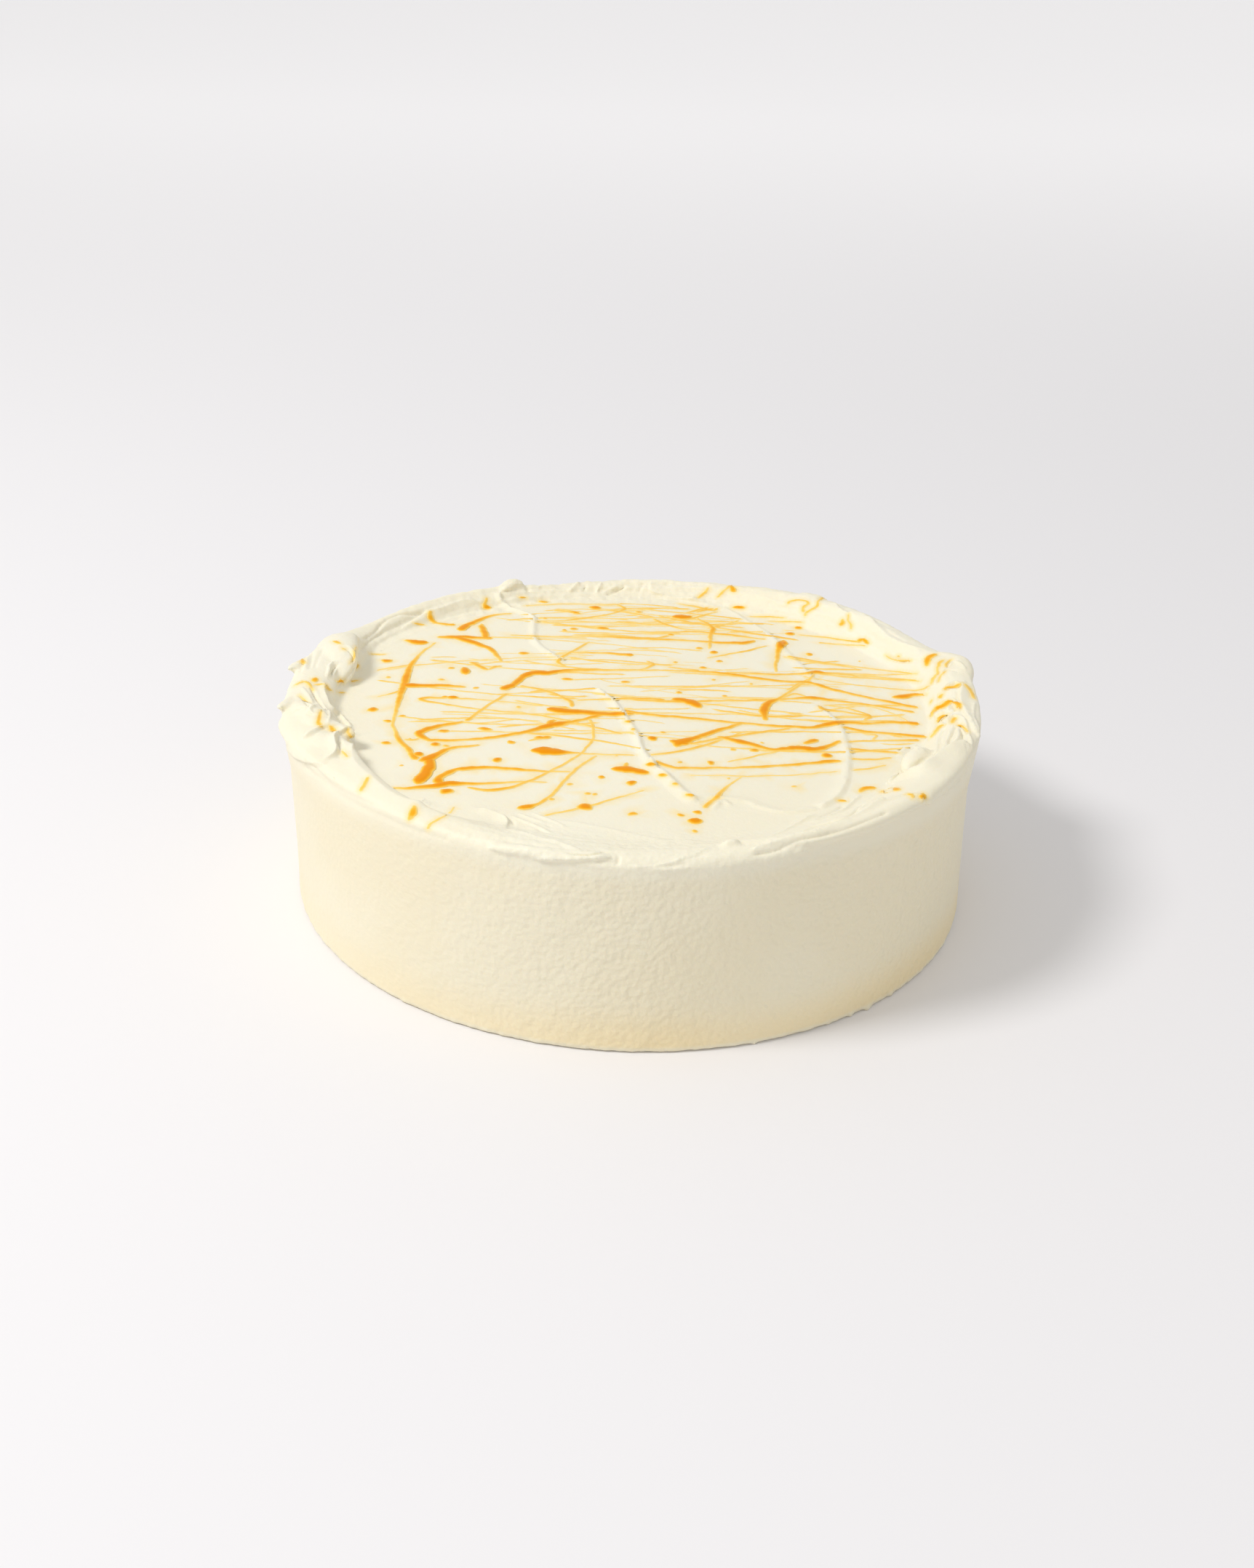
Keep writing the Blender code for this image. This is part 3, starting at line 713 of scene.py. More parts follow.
rightFolds = pickedFolds("right", (
    # front band, its upper edge
    (((320, 1590), (380, 1545), (470, 1505), (600, 1465), (700, 1440), (760, 1410), (830, 1350),
      (900, 1270), (1000, 1205), (1080, 1160), (1160, 1140), (1230, 1165)), 2.8, 1.3, 7),
    (((700, 1405), (780, 1355), (840, 1300), (875, 1230)), -1.8, 1.6, 1.6),
    (((730, 1810), (800, 1750), (900, 1690), (1000, 1620), (1100, 1530), (1160, 1440),
      (1195, 1400)), 1.5, 4, 1.1),  # its lower lip
    (((700, 1790), (680, 1720), (560, 1700), (400, 1740), (200, 1800), (0, 1890)), 0.9, 1.2, 2),
    (((430, 1275), (500, 1200), (580, 1175), (680, 1192), (740, 1225)), 1, 0.9, 3.5),  # ball
    (((560, 1400), (620, 1380), (700, 1330), (760, 1290)), -0.9, 1.6, 1.6),
    (((770, 1110), (830, 1040), (880, 970), (930, 930), (965, 950)), 1.6, 1.1, 2.4),  # front folds
    (((980, 935), (1010, 890), (1050, 855), (1100, 850), (1150, 875), (1185, 920),
      (1200, 985)), 2, 1, 2.2),
    (((1060, 940), (1100, 932), (1150, 957), (1190, 1010), (1200, 1050)), -1.4, 1.1, 1.1),
    (((965, 960), (920, 1010), (895, 1080), (890, 1160), (885, 1230)), -1.3, 1.1, 1.1),  # drapes below them
    (((1040, 955), (1010, 1030), (985, 1100), (960, 1160), (930, 1220)), 1.2, 1.1, 1.1),
    (((1070, 960), (1040, 1030), (1005, 1090), (1000, 1150)), -1.5, 1, 1),
    (((1095, 975), (1110, 1040), (1090, 1090), (1060, 1130), (1010, 1180)), 1.5, 1.1, 1.1),
    (((1130, 990), (1150, 1060), (1150, 1110)), -1.5, 1.1, 1.1),
    (((1200, 990), (1215, 1050), (1240, 1110), (1245, 1170)), 1.3, 1.1, 1.5),
    (((805, 850), (840, 780), (890, 715), (960, 680), (1040, 665), (1090, 690), (1115, 740),
      (1110, 770)), 1.8, 1, 1.5),  # middle folds
    (((830, 815), (880, 755), (940, 728), (980, 718)), -1.6, 1.1, 1.1),
    (((845, 870), (900, 810), (960, 790), (1000, 770), (1010, 730)), 1.6, 1.1, 1.1),
    (((870, 920), (910, 860), (980, 820), (1040, 785), (1065, 760), (1040, 730)), -1.8, 1.2, 1.2),
    (((880, 640), (900, 600), (960, 540), (1010, 500), (1070, 470), (1110, 485),
      (1170, 455)), 1.6, 0.9, 1.8),
    (((955, 560), (1010, 532), (1060, 522), (1110, 525)), -1.2, 1, 1),
    (((750, 600), (755, 560), (790, 525), (840, 515)), 1.2, 0.9, 1.6),
    (((1150, 490), (1130, 570), (1125, 650), (1140, 730), (1180, 810), (1220, 890), (1255, 960),
      (1290, 1030)), 2.2, 3.8, 1.3),  # outer facet
    (((1095, 560), (1090, 640), (1110, 720), (1150, 790)), -1, 1.3, 1.3),
    (((1285, 690), (1270, 780), (1280, 880), (1305, 980), (1320, 1090)), 1, 1, 1.3),
    (((800, 480), (830, 430), (880, 380), (885, 330)), -1.2, 1, 1),  # back folds
    (((870, 465), (910, 385), (960, 340), (1010, 325), (1090, 345)), -1.2, 1, 1),
    (((970, 300), (985, 260), (1050, 218)), -1.2, 1, 1),
    (((835, 490), (875, 425), (925, 365), (950, 300)), 1, 1, 1.2),
    (((1000, 290), (1030, 250), (1080, 235), (1140, 262), (1180, 320)), 1, 1, 2),
))

backFolds = (
    (((85, 128), (86.5, 120), (89, 112), (92, 107.5), (97, 106.5), (101, 101), (103.5, 93), (106.5, 84),
      (110, 77), (115, 72), (121, 69)), 1.8, 1.8, 6.5),
    (((91.5, 108), (92, 100), (91.5, 92)), -0.9, 1.8, 1.8),
    (((104, 60), (107, 56.5), (112, 55), (118, 58), (120, 62)), -1.2, 1.8, 1.8),
    (((-14.5, 119), (-11, 124), (-7.5, 129), (-6, 132)), -1.6, 1.7, 1.7),
    (((-17, 121), (-13, 126), (-9.5, 131)), 1.1, 1.6, 1.6),
    (((5, 138), (5, 130), (6, 125), (11, 121), (18, 118), (26, 115)), 1.1, 6, 1.3),
    (((0, 124), (1, 131), (2, 137)), -0.7, 1.4, 1.4),
    (((-31, 121), (-29, 128), (-27, 133)), 1.5, 2.2, 2.2),
    (((-36, 124), (-42, 127), (-46, 126)), 1.1, 2, 2),
    (((-25, 122), (-24, 130)), -1.2, 1.6, 1.6),
    (((-19, 120), (-18, 128), (-17, 134)), 1.1, 1.8, 1.8),
    (((-49, 120), (-50, 125), (-52, 131)), -1.8, 1.8, 1.8),
    (((4, 134), (12, 135.5), (25, 136.5), (31, 138)), -0.6, 1.4, 1.4),
    (((-113, 45), (-111.5, 53), (-108, 62), (-104, 70), (-99, 78), (-95, 85),
      (-91, 92)), -1.3, 2.2, 2.2),
    (((-113.5, 57), (-110, 66), (-108.5, 75), (-106, 82), (-102, 87), (-96, 88.3),
      (-92, 91)), -1, 1.6, 1.6),
    (((-99, 73), (-95.5, 81), (-92.5, 88), (-90, 92.5), (-86, 95), (-82, 100), (-79, 104),
      (-75.5, 106.3), (-70, 106)), 0.9, 1.2, 5),
)

folds = topRidges + leftFolds + frontLeftFolds + frontRightFolds + rightFolds + backFolds


def layPath(tree, points, step):
    # Drop a path along the line of sight onto the coat; gives places and normals
    eye = cameraPlace()
    places = []
    normals = []
    for row in smoothPath(points, step):
        target = Vector((row[0], row[1], flatTop)) * mm
        ahead = (target - eye).normalized()
        start = target - ahead * (sightReach * mm)
        place, normal, face, far = tree.ray_cast(start, ahead)
        if place is None:
            continue
        places.append(place)
        normals.append(normal)
    return places, normals


def nearestOnPath(finder, path, lies, reach):
    # For each point of the coat near a path: its distance, its offset to the left and how far
    # along the path it is
    best = {}
    last = len(path) - 1
    for step in range(len(path)):
        ahead = (path[min(step + 1, last)] - path[max(step - 1, 0)]).normalized()
        side = lies[step].cross(ahead)
        for place, index, gap in finder.find_range(path[step], reach):
            if index in best and best[index][0] <= gap:
                continue
            best[index] = (gap, (place - path[step]).dot(side), step / last)
    return best


def workFolds(mesh):
    places = readPoints(mesh)
    normals = readNormals(mesh)
    finder = KDTree(len(places))
    for index, place in enumerate(places):
        finder.insert(place, index)
    finder.balance()
    tree = BVHTree.FromPolygons(
        [tuple(p) for p in places], [tuple(f.vertices) for f in mesh.polygons]
    )
    shift = np.zeros(len(places))
    for points, height, left, right in folds:
        path, lies = layPath(tree, points, foldWork["step"])
        length = foldWork["step"] * len(path)
        best = nearestOnPath(finder, path, lies, max(left, right) * foldWork["search"] * mm)
        for index, (gap, offset, along) in best.items():
            reach = (left if offset > 0 else right) * mm
            near = max(0.0, 1.0 - gap / reach)
            fromStart = (foldWork["endRest"] + along * length) / foldWork["runOut"]
            fromEnd = (foldWork["endRest"] + (1.0 - along) * length) / foldWork["runOut"]
            ends = min(1.0, fromStart, fromEnd)
            uneven = noise.noise(Vector(places[index]) / (foldWork["lumpSize"] * mm))
            lumpy = foldWork["evenness"] + foldWork["lumps"] * uneven
            shift[index] += height * mm * near ** foldWork["steepness"] * ends * lumpy
    places += normals * shift[:, None]
    writePoints(mesh, places)


# Unevenness of the smoothed cream: sizes of its waves, then their heights
surfaceWork = {
    "broad": (34.0, 0.35),
    "middle": (11.0, 0.12),
    "restBelow": 1.0,  # nothing is worked lower than this
    "softBelow": 6.0,  # and less of it lower than this
    "rimFrom": 108.0,  # the rim's swipe marks start at this radius and height
    "rimOver": 6.0,  # and are whole this much further out
    "rimAbove": 68.0,
    "rimRise": 4.0,
    "swipes": (5.0, 2.2, 1.2),  # waves for each radian round the rim, their width, their depth
    "knobSize": 4.5,
    "grainSize": 1.9,
    "grainPart": 0.5,
    "footHeight": 2.6,  # the foot's edge is ragged up to this height
    "footDepth": 3.0,
    "footWaves": (22.0, 0.55),  # waves for each radian, and their depth
    "footCrumbs": (60.0, 0.4),
    "crumbHeight": 2.0,
    "footOut": 0.25,
}

# How rough the cream of the rim is, by angle: depth of its knobs
roughness = (
    (0, 0.14), (30, 0.2), (60, 0.35), (95, 0.5), (125, 0.4), (150, 0.2), (170, 0.1), (210, 0.06),
    (238, 0.08), (250, 0.24), (275, 0.24), (292, 0.06), (330, 0.06), (360, 0.14),
)


def ragFoot(places, angle, radius, height):
    # The edge of the foot, pushed out unevenly
    work = surfaceWork
    atFoot = (height < work["footHeight"]) & (radius > baseRadius - work["footDepth"])
    for index in np.nonzero(atFoot)[0]:
        turn = Vector((math.cos(angle[index]), math.sin(angle[index]), 0.0))
        waves = work["footWaves"][1] * noise.noise(turn * work["footWaves"][0])
        higher = Vector((0.0, 0.0, height[index] / work["crumbHeight"]))
        crumbs = work["footCrumbs"][1] * noise.noise(turn * work["footCrumbs"][0] + higher)
        out = max(0.0, work["footOut"] + waves + crumbs)
        places[index, :2] += np.array(turn)[:2] * (out * (1.0 - height[index] / work["footHeight"]) * mm)


def workSurface(mesh):
    # Uneven smoothing of the wall and top, and fine swipe marks that run round the rim
    places = readPoints(mesh)
    normals = readNormals(mesh)
    radius = np.hypot(places[:, 0], places[:, 1]) / mm
    height = places[:, 2] / mm
    angle = np.arctan2(places[:, 1], places[:, 0])
    knots, depths = np.array(roughness).T
    rough = np.interp(np.mod(np.degrees(angle), 360.0), knots, depths)
    work = surfaceWork
    turns, width, depth = work["swipes"]
    shift = np.zeros(len(places))
    for index in range(len(places)):
        if height[index] < work["restBelow"]:
            continue
        spot = Vector(places[index]) / mm
        broad = noise.noise(spot / work["broad"][0])
        middle = noise.noise(spot / work["middle"][0] + Vector((7.0, 3.0, 1.0)))
        shift[index] = work["broad"][1] * broad + work["middle"][1] * middle
        outPart = min(1.0, max(0.0, (radius[index] - work["rimFrom"]) / work["rimOver"]))
        upPart = min(1.0, max(0.0, (height[index] - work["rimAbove"]) / work["rimRise"]))
        rimPart = outPart * upPart
        if rimPart > 0.0:
            along = Vector((angle[index] * turns, radius[index] / width, height[index] / width))
            shift[index] += depth * rough[index] * rimPart * noise.noise(along)
            knobs = noise.noise(spot / work["knobSize"] + Vector((0.0, 9.0, 4.0)))
            knobs += work["grainPart"] * noise.noise(spot / work["grainSize"])
            shift[index] += rough[index] * rimPart * knobs
    lift = np.minimum(1.0, height / work["softBelow"])
    places += normals * (shift * lift * mm)[:, None]
    ragFoot(places, angle, radius, height)
    places[:, 2] = np.maximum(places[:, 2], 0.0)
    writePoints(mesh, places)


def refineRim(mesh):
    # Split the faces of the rim and the wall's top, where the folds are worked
    bm = bmesh.new()
    bm.from_mesh(mesh)
    edges = set()
    for face in bm.faces:
        middle = face.calc_center_median() / mm
        if middle.z > coat["fineAbove"] and math.hypot(middle.x, middle.y) > coat["fineFrom"]:
            edges.update(face.edges)
    bmesh.ops.subdivide_edges(bm, edges=list(edges), cuts=1, use_grid_fill=True)
    bm.to_mesh(mesh)
    bm.free()


def makeCoat():
    meshes = [drumMesh()]
    for number, lump in enumerate(list(lumps) + footFlecks()):
        meshes.append(lumpMesh(number, lump))
    piece = linkObject("creamCoat", joinMeshes("creamCoat", meshes))
    meltTogether(piece)
    refineRim(piece.data)
    print("cream melted together:", len(piece.data.polygons), "faces")
    workFolds(piece.data)
    workSurface(piece.data)
    thin = piece.modifiers.new("thin", "DECIMATE")
    triangles = sum(len(face.vertices) - 2 for face in piece.data.polygons)
    thin.ratio = min(1.0, coat["mostTriangles"] / triangles)
    mesh = applyModifiers(piece)
    mesh.shade_smooth()
    print("cream coat:", len(mesh.polygons), "faces")
    return piece


creamCoat = makeCoat()


# Yuzu sauce: strokes as (x, y, width), seen on the level of the flat top

strokes = (
    ((-67, 111, 1.4), (-67, 103, 2.2), (-65, 96, 5.5)),
    ((-54, 93, 1.4), (-62, 90, 2.3), (-68, 83, 3.4), (-73, 76, 4.4), (-75, 70, 5)),
    ((-66.5, 80, 1.8), (-65, 73, 3), (-63, 63, 4.2)),
    ((-90, 93, 1.8), (-88.5, 83, 3), (-85, 78, 2.4), (-77, 77, 3.4)),
    ((-84, 62.5, 2.4), (-76, 63, 4), (-70, 59, 4.4), (-61, 52, 3.4), (-57, 44, 2.4), (-54.5, 38, 1.2)),
    ((-97, 58, 1.6), (-91, 56, 6), (-86, 56, 4.4)),
    ((-83, 57, 1.4), (-88, 45, 1.8), (-91, 30, 3), (-91, 12, 3.8), (-91, -15, 1.8), (-90, -28, 1.8),
     (-86, -40, 2.6), (-80, -52, 3), (-78, -56, 4)),
    ((-92, 11, 5), (-84, 11.5, 4.2), (-75, 12, 3.6), (-66, 12, 1.5)),
    ((-90, 8, 2.6), (-95, 2.5, 1.6), (-100, -1, 1)),
    ((-69.5, 32, 2.4), (-68.5, 28, 4.6), (-68, 23.5, 3.2)),
    ((-53, 10, 5), (-48, 16, 4), (-45, 24, 4), (-41, 28, 5), (-36, 28.5, 5), (-25, 33, 2.6),
     (0, 35, 1.8), (20, 36, 2), (35, 35, 3), (50, 31, 3), (60, 29, 2.5), (70, 28.5, 3), (78, 23, 3),
     (90, 17, 2.5), (111, 7.5, 3.2)),
    ((-46, 15, 1.8), (-38, 12, 2.2), (-30, 7, 2), (-25, 1, 2.4), (-24, -4, 2)),
    ((-35, -4, 1.2), (-60, 0, 1.4), (-80, 0, 2.4), (-83, -1.5, 3), (-80, -3.5, 2.2), (-60, -9, 1.6),
     (-35, -13, 1.6), (-12, -23, 1.8), (-4, -27, 1.8)),
    ((-50, 7, 2), (-57, -6, 1.8), (-61, -15, 2.2), (-64, -21, 2.8)),
    ((-34, -6, 6), (-27, -8, 5.6), (-20, -8.5, 4.8), (-8, -9, 3)),
    ((-64, -21, 2.4), (-72, -25, 3.2), (-78, -30, 4), (-80, -34, 4), (-76, -38, 3.2), (-65, -37.5, 2.6),
     (-52, -34, 2.8), (-40, -28, 3.2), (-31, -21, 5), (-24, -18, 3), (-18, -14, 2.8), (-10, -9, 3)),
    ((-31, -16, 2.4), (-31, -21, 4.6), (-26, -20, 2.8)),
    ((-74, -55, 4.6), (-68, -46, 3), (-62, -43, 2.4), (-56, -41, 1.6)),
    ((-58, -76, 1.6), (-50, -78, 2.8), (-43, -75, 2.4), (-36, -69, 2), (-28, -59, 1.8), (-20, -47, 1.6),
     (-16, -35, 1.5), (-15, -25, 1.6), (-17, -14, 1.8)),
    ((-13, -46, 1.4), (-19, -56, 1.8), (-24, -68, 1.8), (-28, -80, 2), (-33, -88, 2.4), (-37, -90, 4.4),
     (-40, -91, 2)),
    ((-38, -44, 4), (-34, -44, 7.4), (-29, -44.5, 7), (-23, -45, 2.6), (-12, -45, 1.6), (1, -45, 1.5)),
    ((-8, -57, 2), (-3, -57, 6.4), (1, -58, 5), (6, -60.5, 4)),
    ((-3, -56, 3), (-2, -51, 1.6)),
    ((14, 95, 3), (18, 96, 6.4), (22, 96, 5), (24, 97, 2.4)),
    ((6, 93, 1.8), (10, 88, 2.2), (15, 84, 2), (25, 81, 1.4), (45, 83, 1)),
    ((25, 96, 1.4), (30, 89, 2.4), (32, 84, 3), (31, 75, 2.4), (30, 60, 1.6)),
    ((20, 100, 1.2), (25, 104, 2.4), (31, 109, 1.6)),
    ((25, 102, 1.6), (29, 105, 2.4), (33, 108, 1.4)),
    ((-44, 67, 1.2), (-25, 69, 1.6), (-10, 69.5, 2.4), (5, 69, 2.6), (20, 69, 2.2), (34, 68, 2.8),
     (45, 68.5, 3.6), (50, 72, 2.2)),
    ((-50, 102, 1.4), (-35, 106, 1.2), (-20, 107, 1.2), (-9, 107.5, 1.8), (-6, 103, 2.4),
     (-10, 98, 1.8), (-17, 93, 2), (-25, 89, 2.2), (-35, 86, 1.4), (-44, 85, 1)),
    ((-36, 100, 1.4), (-30, 98, 2), (-26, 95, 4.6)),
    ((-43, 83, 1), (-20, 86, 1.6), (5, 86, 1)),
    ((-35, 48, 1.2), (-25, 51, 1.6), (-10, 51.5, 2.6), (-1, 50.5, 3.8)),
    ((62, 74, 1.6), (61, 70, 5.2), (59, 62, 3), (58, 55, 2.4), (57, 45, 2), (57, 38, 1.4)),
    ((68, 80, 1.4), (80, 78, 1.8), (95, 74, 2)),
    ((76, 72, 2), (86, 71, 1.4), (97, 70.5, 1.4)),
    ((62, 56, 2), (72, 52, 2.2), (90, 47, 1.4), (113, 42, 1.6)),
    ((68, 38, 2), (73, 40, 4), (80, 38.5, 2), (95, 37, 1.6), (114, 35, 2)),
    ((67, 35, 1.2), (82, 30, 1.2), (95, 27, 1.4), (112, 25, 1.2), (118, 30, 1.2)),
    ((101, 16.5, 2.4), (106, 18, 5), (110, 20, 4), (116, 21, 1.8)),
    ((-10, 6, 1.6), (5, 5, 2.2), (20, 5, 2.6), (30, 7, 2.2), (50, 9.5, 2.2), (62, 12, 2.2),
     (70, 13.5, 4), (80, 11, 2.4), (95, 8, 2.2), (109, 3, 2.6)),
    ((14, 7, 3.4), (19, 6.5, 5), (23, 4, 5.4), (26, -0.5, 3)),
    ((72, 38, 1.4), (69, 30, 1.8), (65, 25, 1.8), (57, 12, 2.4), (53, 8, 4), (50.5, 2, 4.4),
     (50, -4, 3.6), (50.5, -10, 2.4)),
    ((-5, -5, 3.2), (5, -8, 2.8), (20, -10, 2.6), (40, -13, 2.6), (55, -14.5, 2.8), (68, -14.5, 3.4),
     (78, -9.5, 4.2), (90, -9, 2.6), (100, -7, 3), (110, -7.5, 4)),
    ((79, -13, 2.8), (88, -16.5, 2.8), (100, -18, 2.8), (111, -19, 3.4)),
    ((80, -26, 1.8), (95, -24, 1.8), (108, -22.5, 2.4)),
    ((80, -32, 2.6), (90, -34, 2.4), (99, -34, 2.2)),
    ((80, -41, 2), (88, -41, 1.8), (96, -39, 1.6)),
    ((80, -50.5, 1.6), (87, -48.5, 1.6), (93, -45, 1.2)),
    ((42, -12.5, 2.4), (30, -22, 3.6), (22, -29, 4.2), (17, -33, 5.6), (16, -37, 2.4)),
    ((13, -31, 2), (17, -33, 5), (21, -34, 2.6)),
    ((20, -34, 2), (32, -28, 2.2), (45, -22, 2.2), (60, -16, 2)),
    ((31, -26, 1.8), (36, -28, 3.6), (42, -31, 4.2), (52, -35.5, 2.8), (60, -33.5, 4.6), (68, -34, 4.4),
     (74, -30, 3), (78, -25, 2.2)),
    ((65, -29, 2), (69, -25, 3.4)),
    ((77, -43, 1.6), (73, -44, 3.6), (66, -46, 2.8), (50, -50, 2.4), (32, -53, 2.2), (15, -54, 2.6),
     (10, -51, 3), (7, -49, 2.4)),
    ((75, -52, 0.9), (60, -56, 1.2), (45, -58.5, 1.2), (20, -60, 1)),
    ((40, -58, 0.9), (35, -66, 1.4), (31, -74, 2.4), (28, -80, 2.2), (25, -86, 2.4)),
    ((-30, -96, 1.4), (-16, -88, 2), (-5, -80, 1.4), (5, -73, 1)),
    ((-100, 25, 1), (-90, 31, 1.2), (-70, 38, 1.2), (-45, 44, 1), (-20, 47, 0.9)),
    ((-28, 36, 1.4), (-32, 41, 2.2), (-25, 55, 2), (-20, 64, 1.4)),
    ((70, 12, 1.2), (63, 17, 1.8), (55, 8, 1.2)),
    ((60, 20, 1.4), (66, 28, 1.8), (70, 33, 1.4)),
    ((75, 7, 1.4), (86, 3, 1.6), (91, -3, 2.2), (88, -6.5, 1.4)),
    ((86, -18, 1.2), (92, -20, 1.6), (90, -24, 1.2)),
    ((86, 10, 1), (96, 5, 1.2), (103, -2, 1), (107, -10, 0.9)),
    ((-74.1, -53.8, 4.4), (-72.8, -58.5, 5), (-73.6, -65.5, 5.2), (-75, -71.5, 5.6),
     (-75.4, -75.7, 4.4)),
)

# Finer strokes, picked on the cut of the top
pickedStrokes = tuple(picked("top", row) for row in (
    ((238, 206, 2.6), (290, 208, 3.6), (330, 206, 4.2), (380, 209, 3.4), (430, 210, 3.2)),
    ((385, 165, 2.6), (395, 185, 3.6), (408, 204, 4.2)),
    ((163, 158, 1.6), (183, 164, 2.4), (205, 168, 1.4)),
    ((18, 262, 1.2), (50, 264, 1.5), (78, 262, 1.2)),
    ((40, 317, 1.2), (90, 308, 1.6), (150, 300, 1.6), (215, 296, 1.2), (330, 284, 1)),
    ((357, 292, 1.6), (375, 300, 2.6), (400, 312, 2.8), (418, 313, 1.4)),
    ((410, 316, 1.4), (432, 306, 2.4), (458, 300, 1.6)),
    ((690, 452, 3.4), (760, 460, 3.6), (832, 462, 4.4), (900, 459, 2.6)),
    ((640, 480, 2.4), (616, 485, 3), (612, 500, 2.8), (640, 500, 2.4), (700, 487, 2)),
    ((132, 542, 1.4), (165, 546, 2), (190, 540, 1.4)),
    ((540, 550, 1.2), (572, 543, 2.2), (604, 538, 3.2), (622, 536, 2)),
    ((178, 617, 2.6), (200, 612, 4.6), (226, 602, 4.8), (244, 588, 2.2)),
    ((70, 704, 1.2), (130, 706, 2.2), (186, 702, 3.4), (232, 698, 4.2), (285, 690, 5), (325, 690, 3.6),
     (400, 690, 2.4), (480, 686, 2), (545, 684, 1.6), (610, 686, 1)),
    ((268, 692, 4), (246, 684, 4.2), (250, 669, 3.8), (276, 657, 3.6), (302, 645, 3.2), (370, 638, 3.6),
     (430, 638, 3), (500, 643, 3), (560, 647, 2.4), (690, 652, 1.4)),
    ((900, 188, 1.2), (1000, 190, 2), (1100, 190, 2.2), (1200, 199, 2.6), (1330, 214, 1.4)),
    ((740, 200, 1.2), (860, 205, 1.8), (960, 210, 2.2), (1010, 201, 1.8)),
    ((1130, 276, 1), (1210, 262, 1.8), (1280, 248, 2), (1332, 234, 1.4)),
    ((1035, 96, 1), (1090, 105, 2), (1150, 118, 2.4), (1166, 110, 1.4)),
    ((1165, 121, 1.4), (1110, 139, 2.2), (1060, 149, 2), (958, 150, 1.2)),
    ((1240, 151, 1.2), (1180, 169, 2), (1130, 178, 1.4)),
    ((1270, 138, 1), (1330, 140, 2), (1390, 142, 1.4)),
    ((1330, 155, 1), (1400, 155, 1.8), (1450, 157, 1.4)),
    ((1190, 322, 1.6), (1300, 328, 2.2), (1400, 330, 2), (1500, 325, 2.4), (1600, 328, 1.8),
     (1720, 331, 1.4), (1830, 327, 1)),
    ((1490, 326, 1.6), (1560, 335, 1.8), (1700, 345, 1.6), (1838, 352, 1.2)),
    ((1380, 270, 1), (1450, 285, 1.6), (1560, 299, 1.6), (1630, 311, 1.2)),
    ((1500, 432, 1.6), (1522, 445, 2.6), (1600, 456, 1.8), (1668, 469, 2.2), (1650, 481, 1.4)),
    ((930, 597, 1.2), (1000, 590, 2), (1080, 575, 2.2), (1170, 550, 1.8), (1250, 520, 1.4)),
    ((1200, 620, 1.2), (1290, 600, 1.6), (1380, 580, 1.6), (1440, 562, 1.2)),
    ((1448, 561, 1.6), (1472, 552, 3.8), (1502, 545, 3.2)),
    ((625, 118, 1.4), (690, 126, 2.4), (718, 131, 2.8)),
    ((480, 200, 1.4), (560, 203, 1.8), (640, 206, 1.6), (740, 211, 1.4)),
    ((700, 415, 1.4), (800, 411, 2), (900, 409, 2.4), (1000, 414, 2.4)),
    ((1000, 305, 1.2), (1060, 312, 1.8), (1110, 318, 2.2)),
    ((590, 330, 2.4), (680, 320, 2.2), (780, 316, 2), (900, 316, 1.6), (960, 296, 2.2),
     (930, 284, 1.4)),
    ((1560, 332, 1.2), (1600, 330, 2), (1640, 345, 1.2)),
))

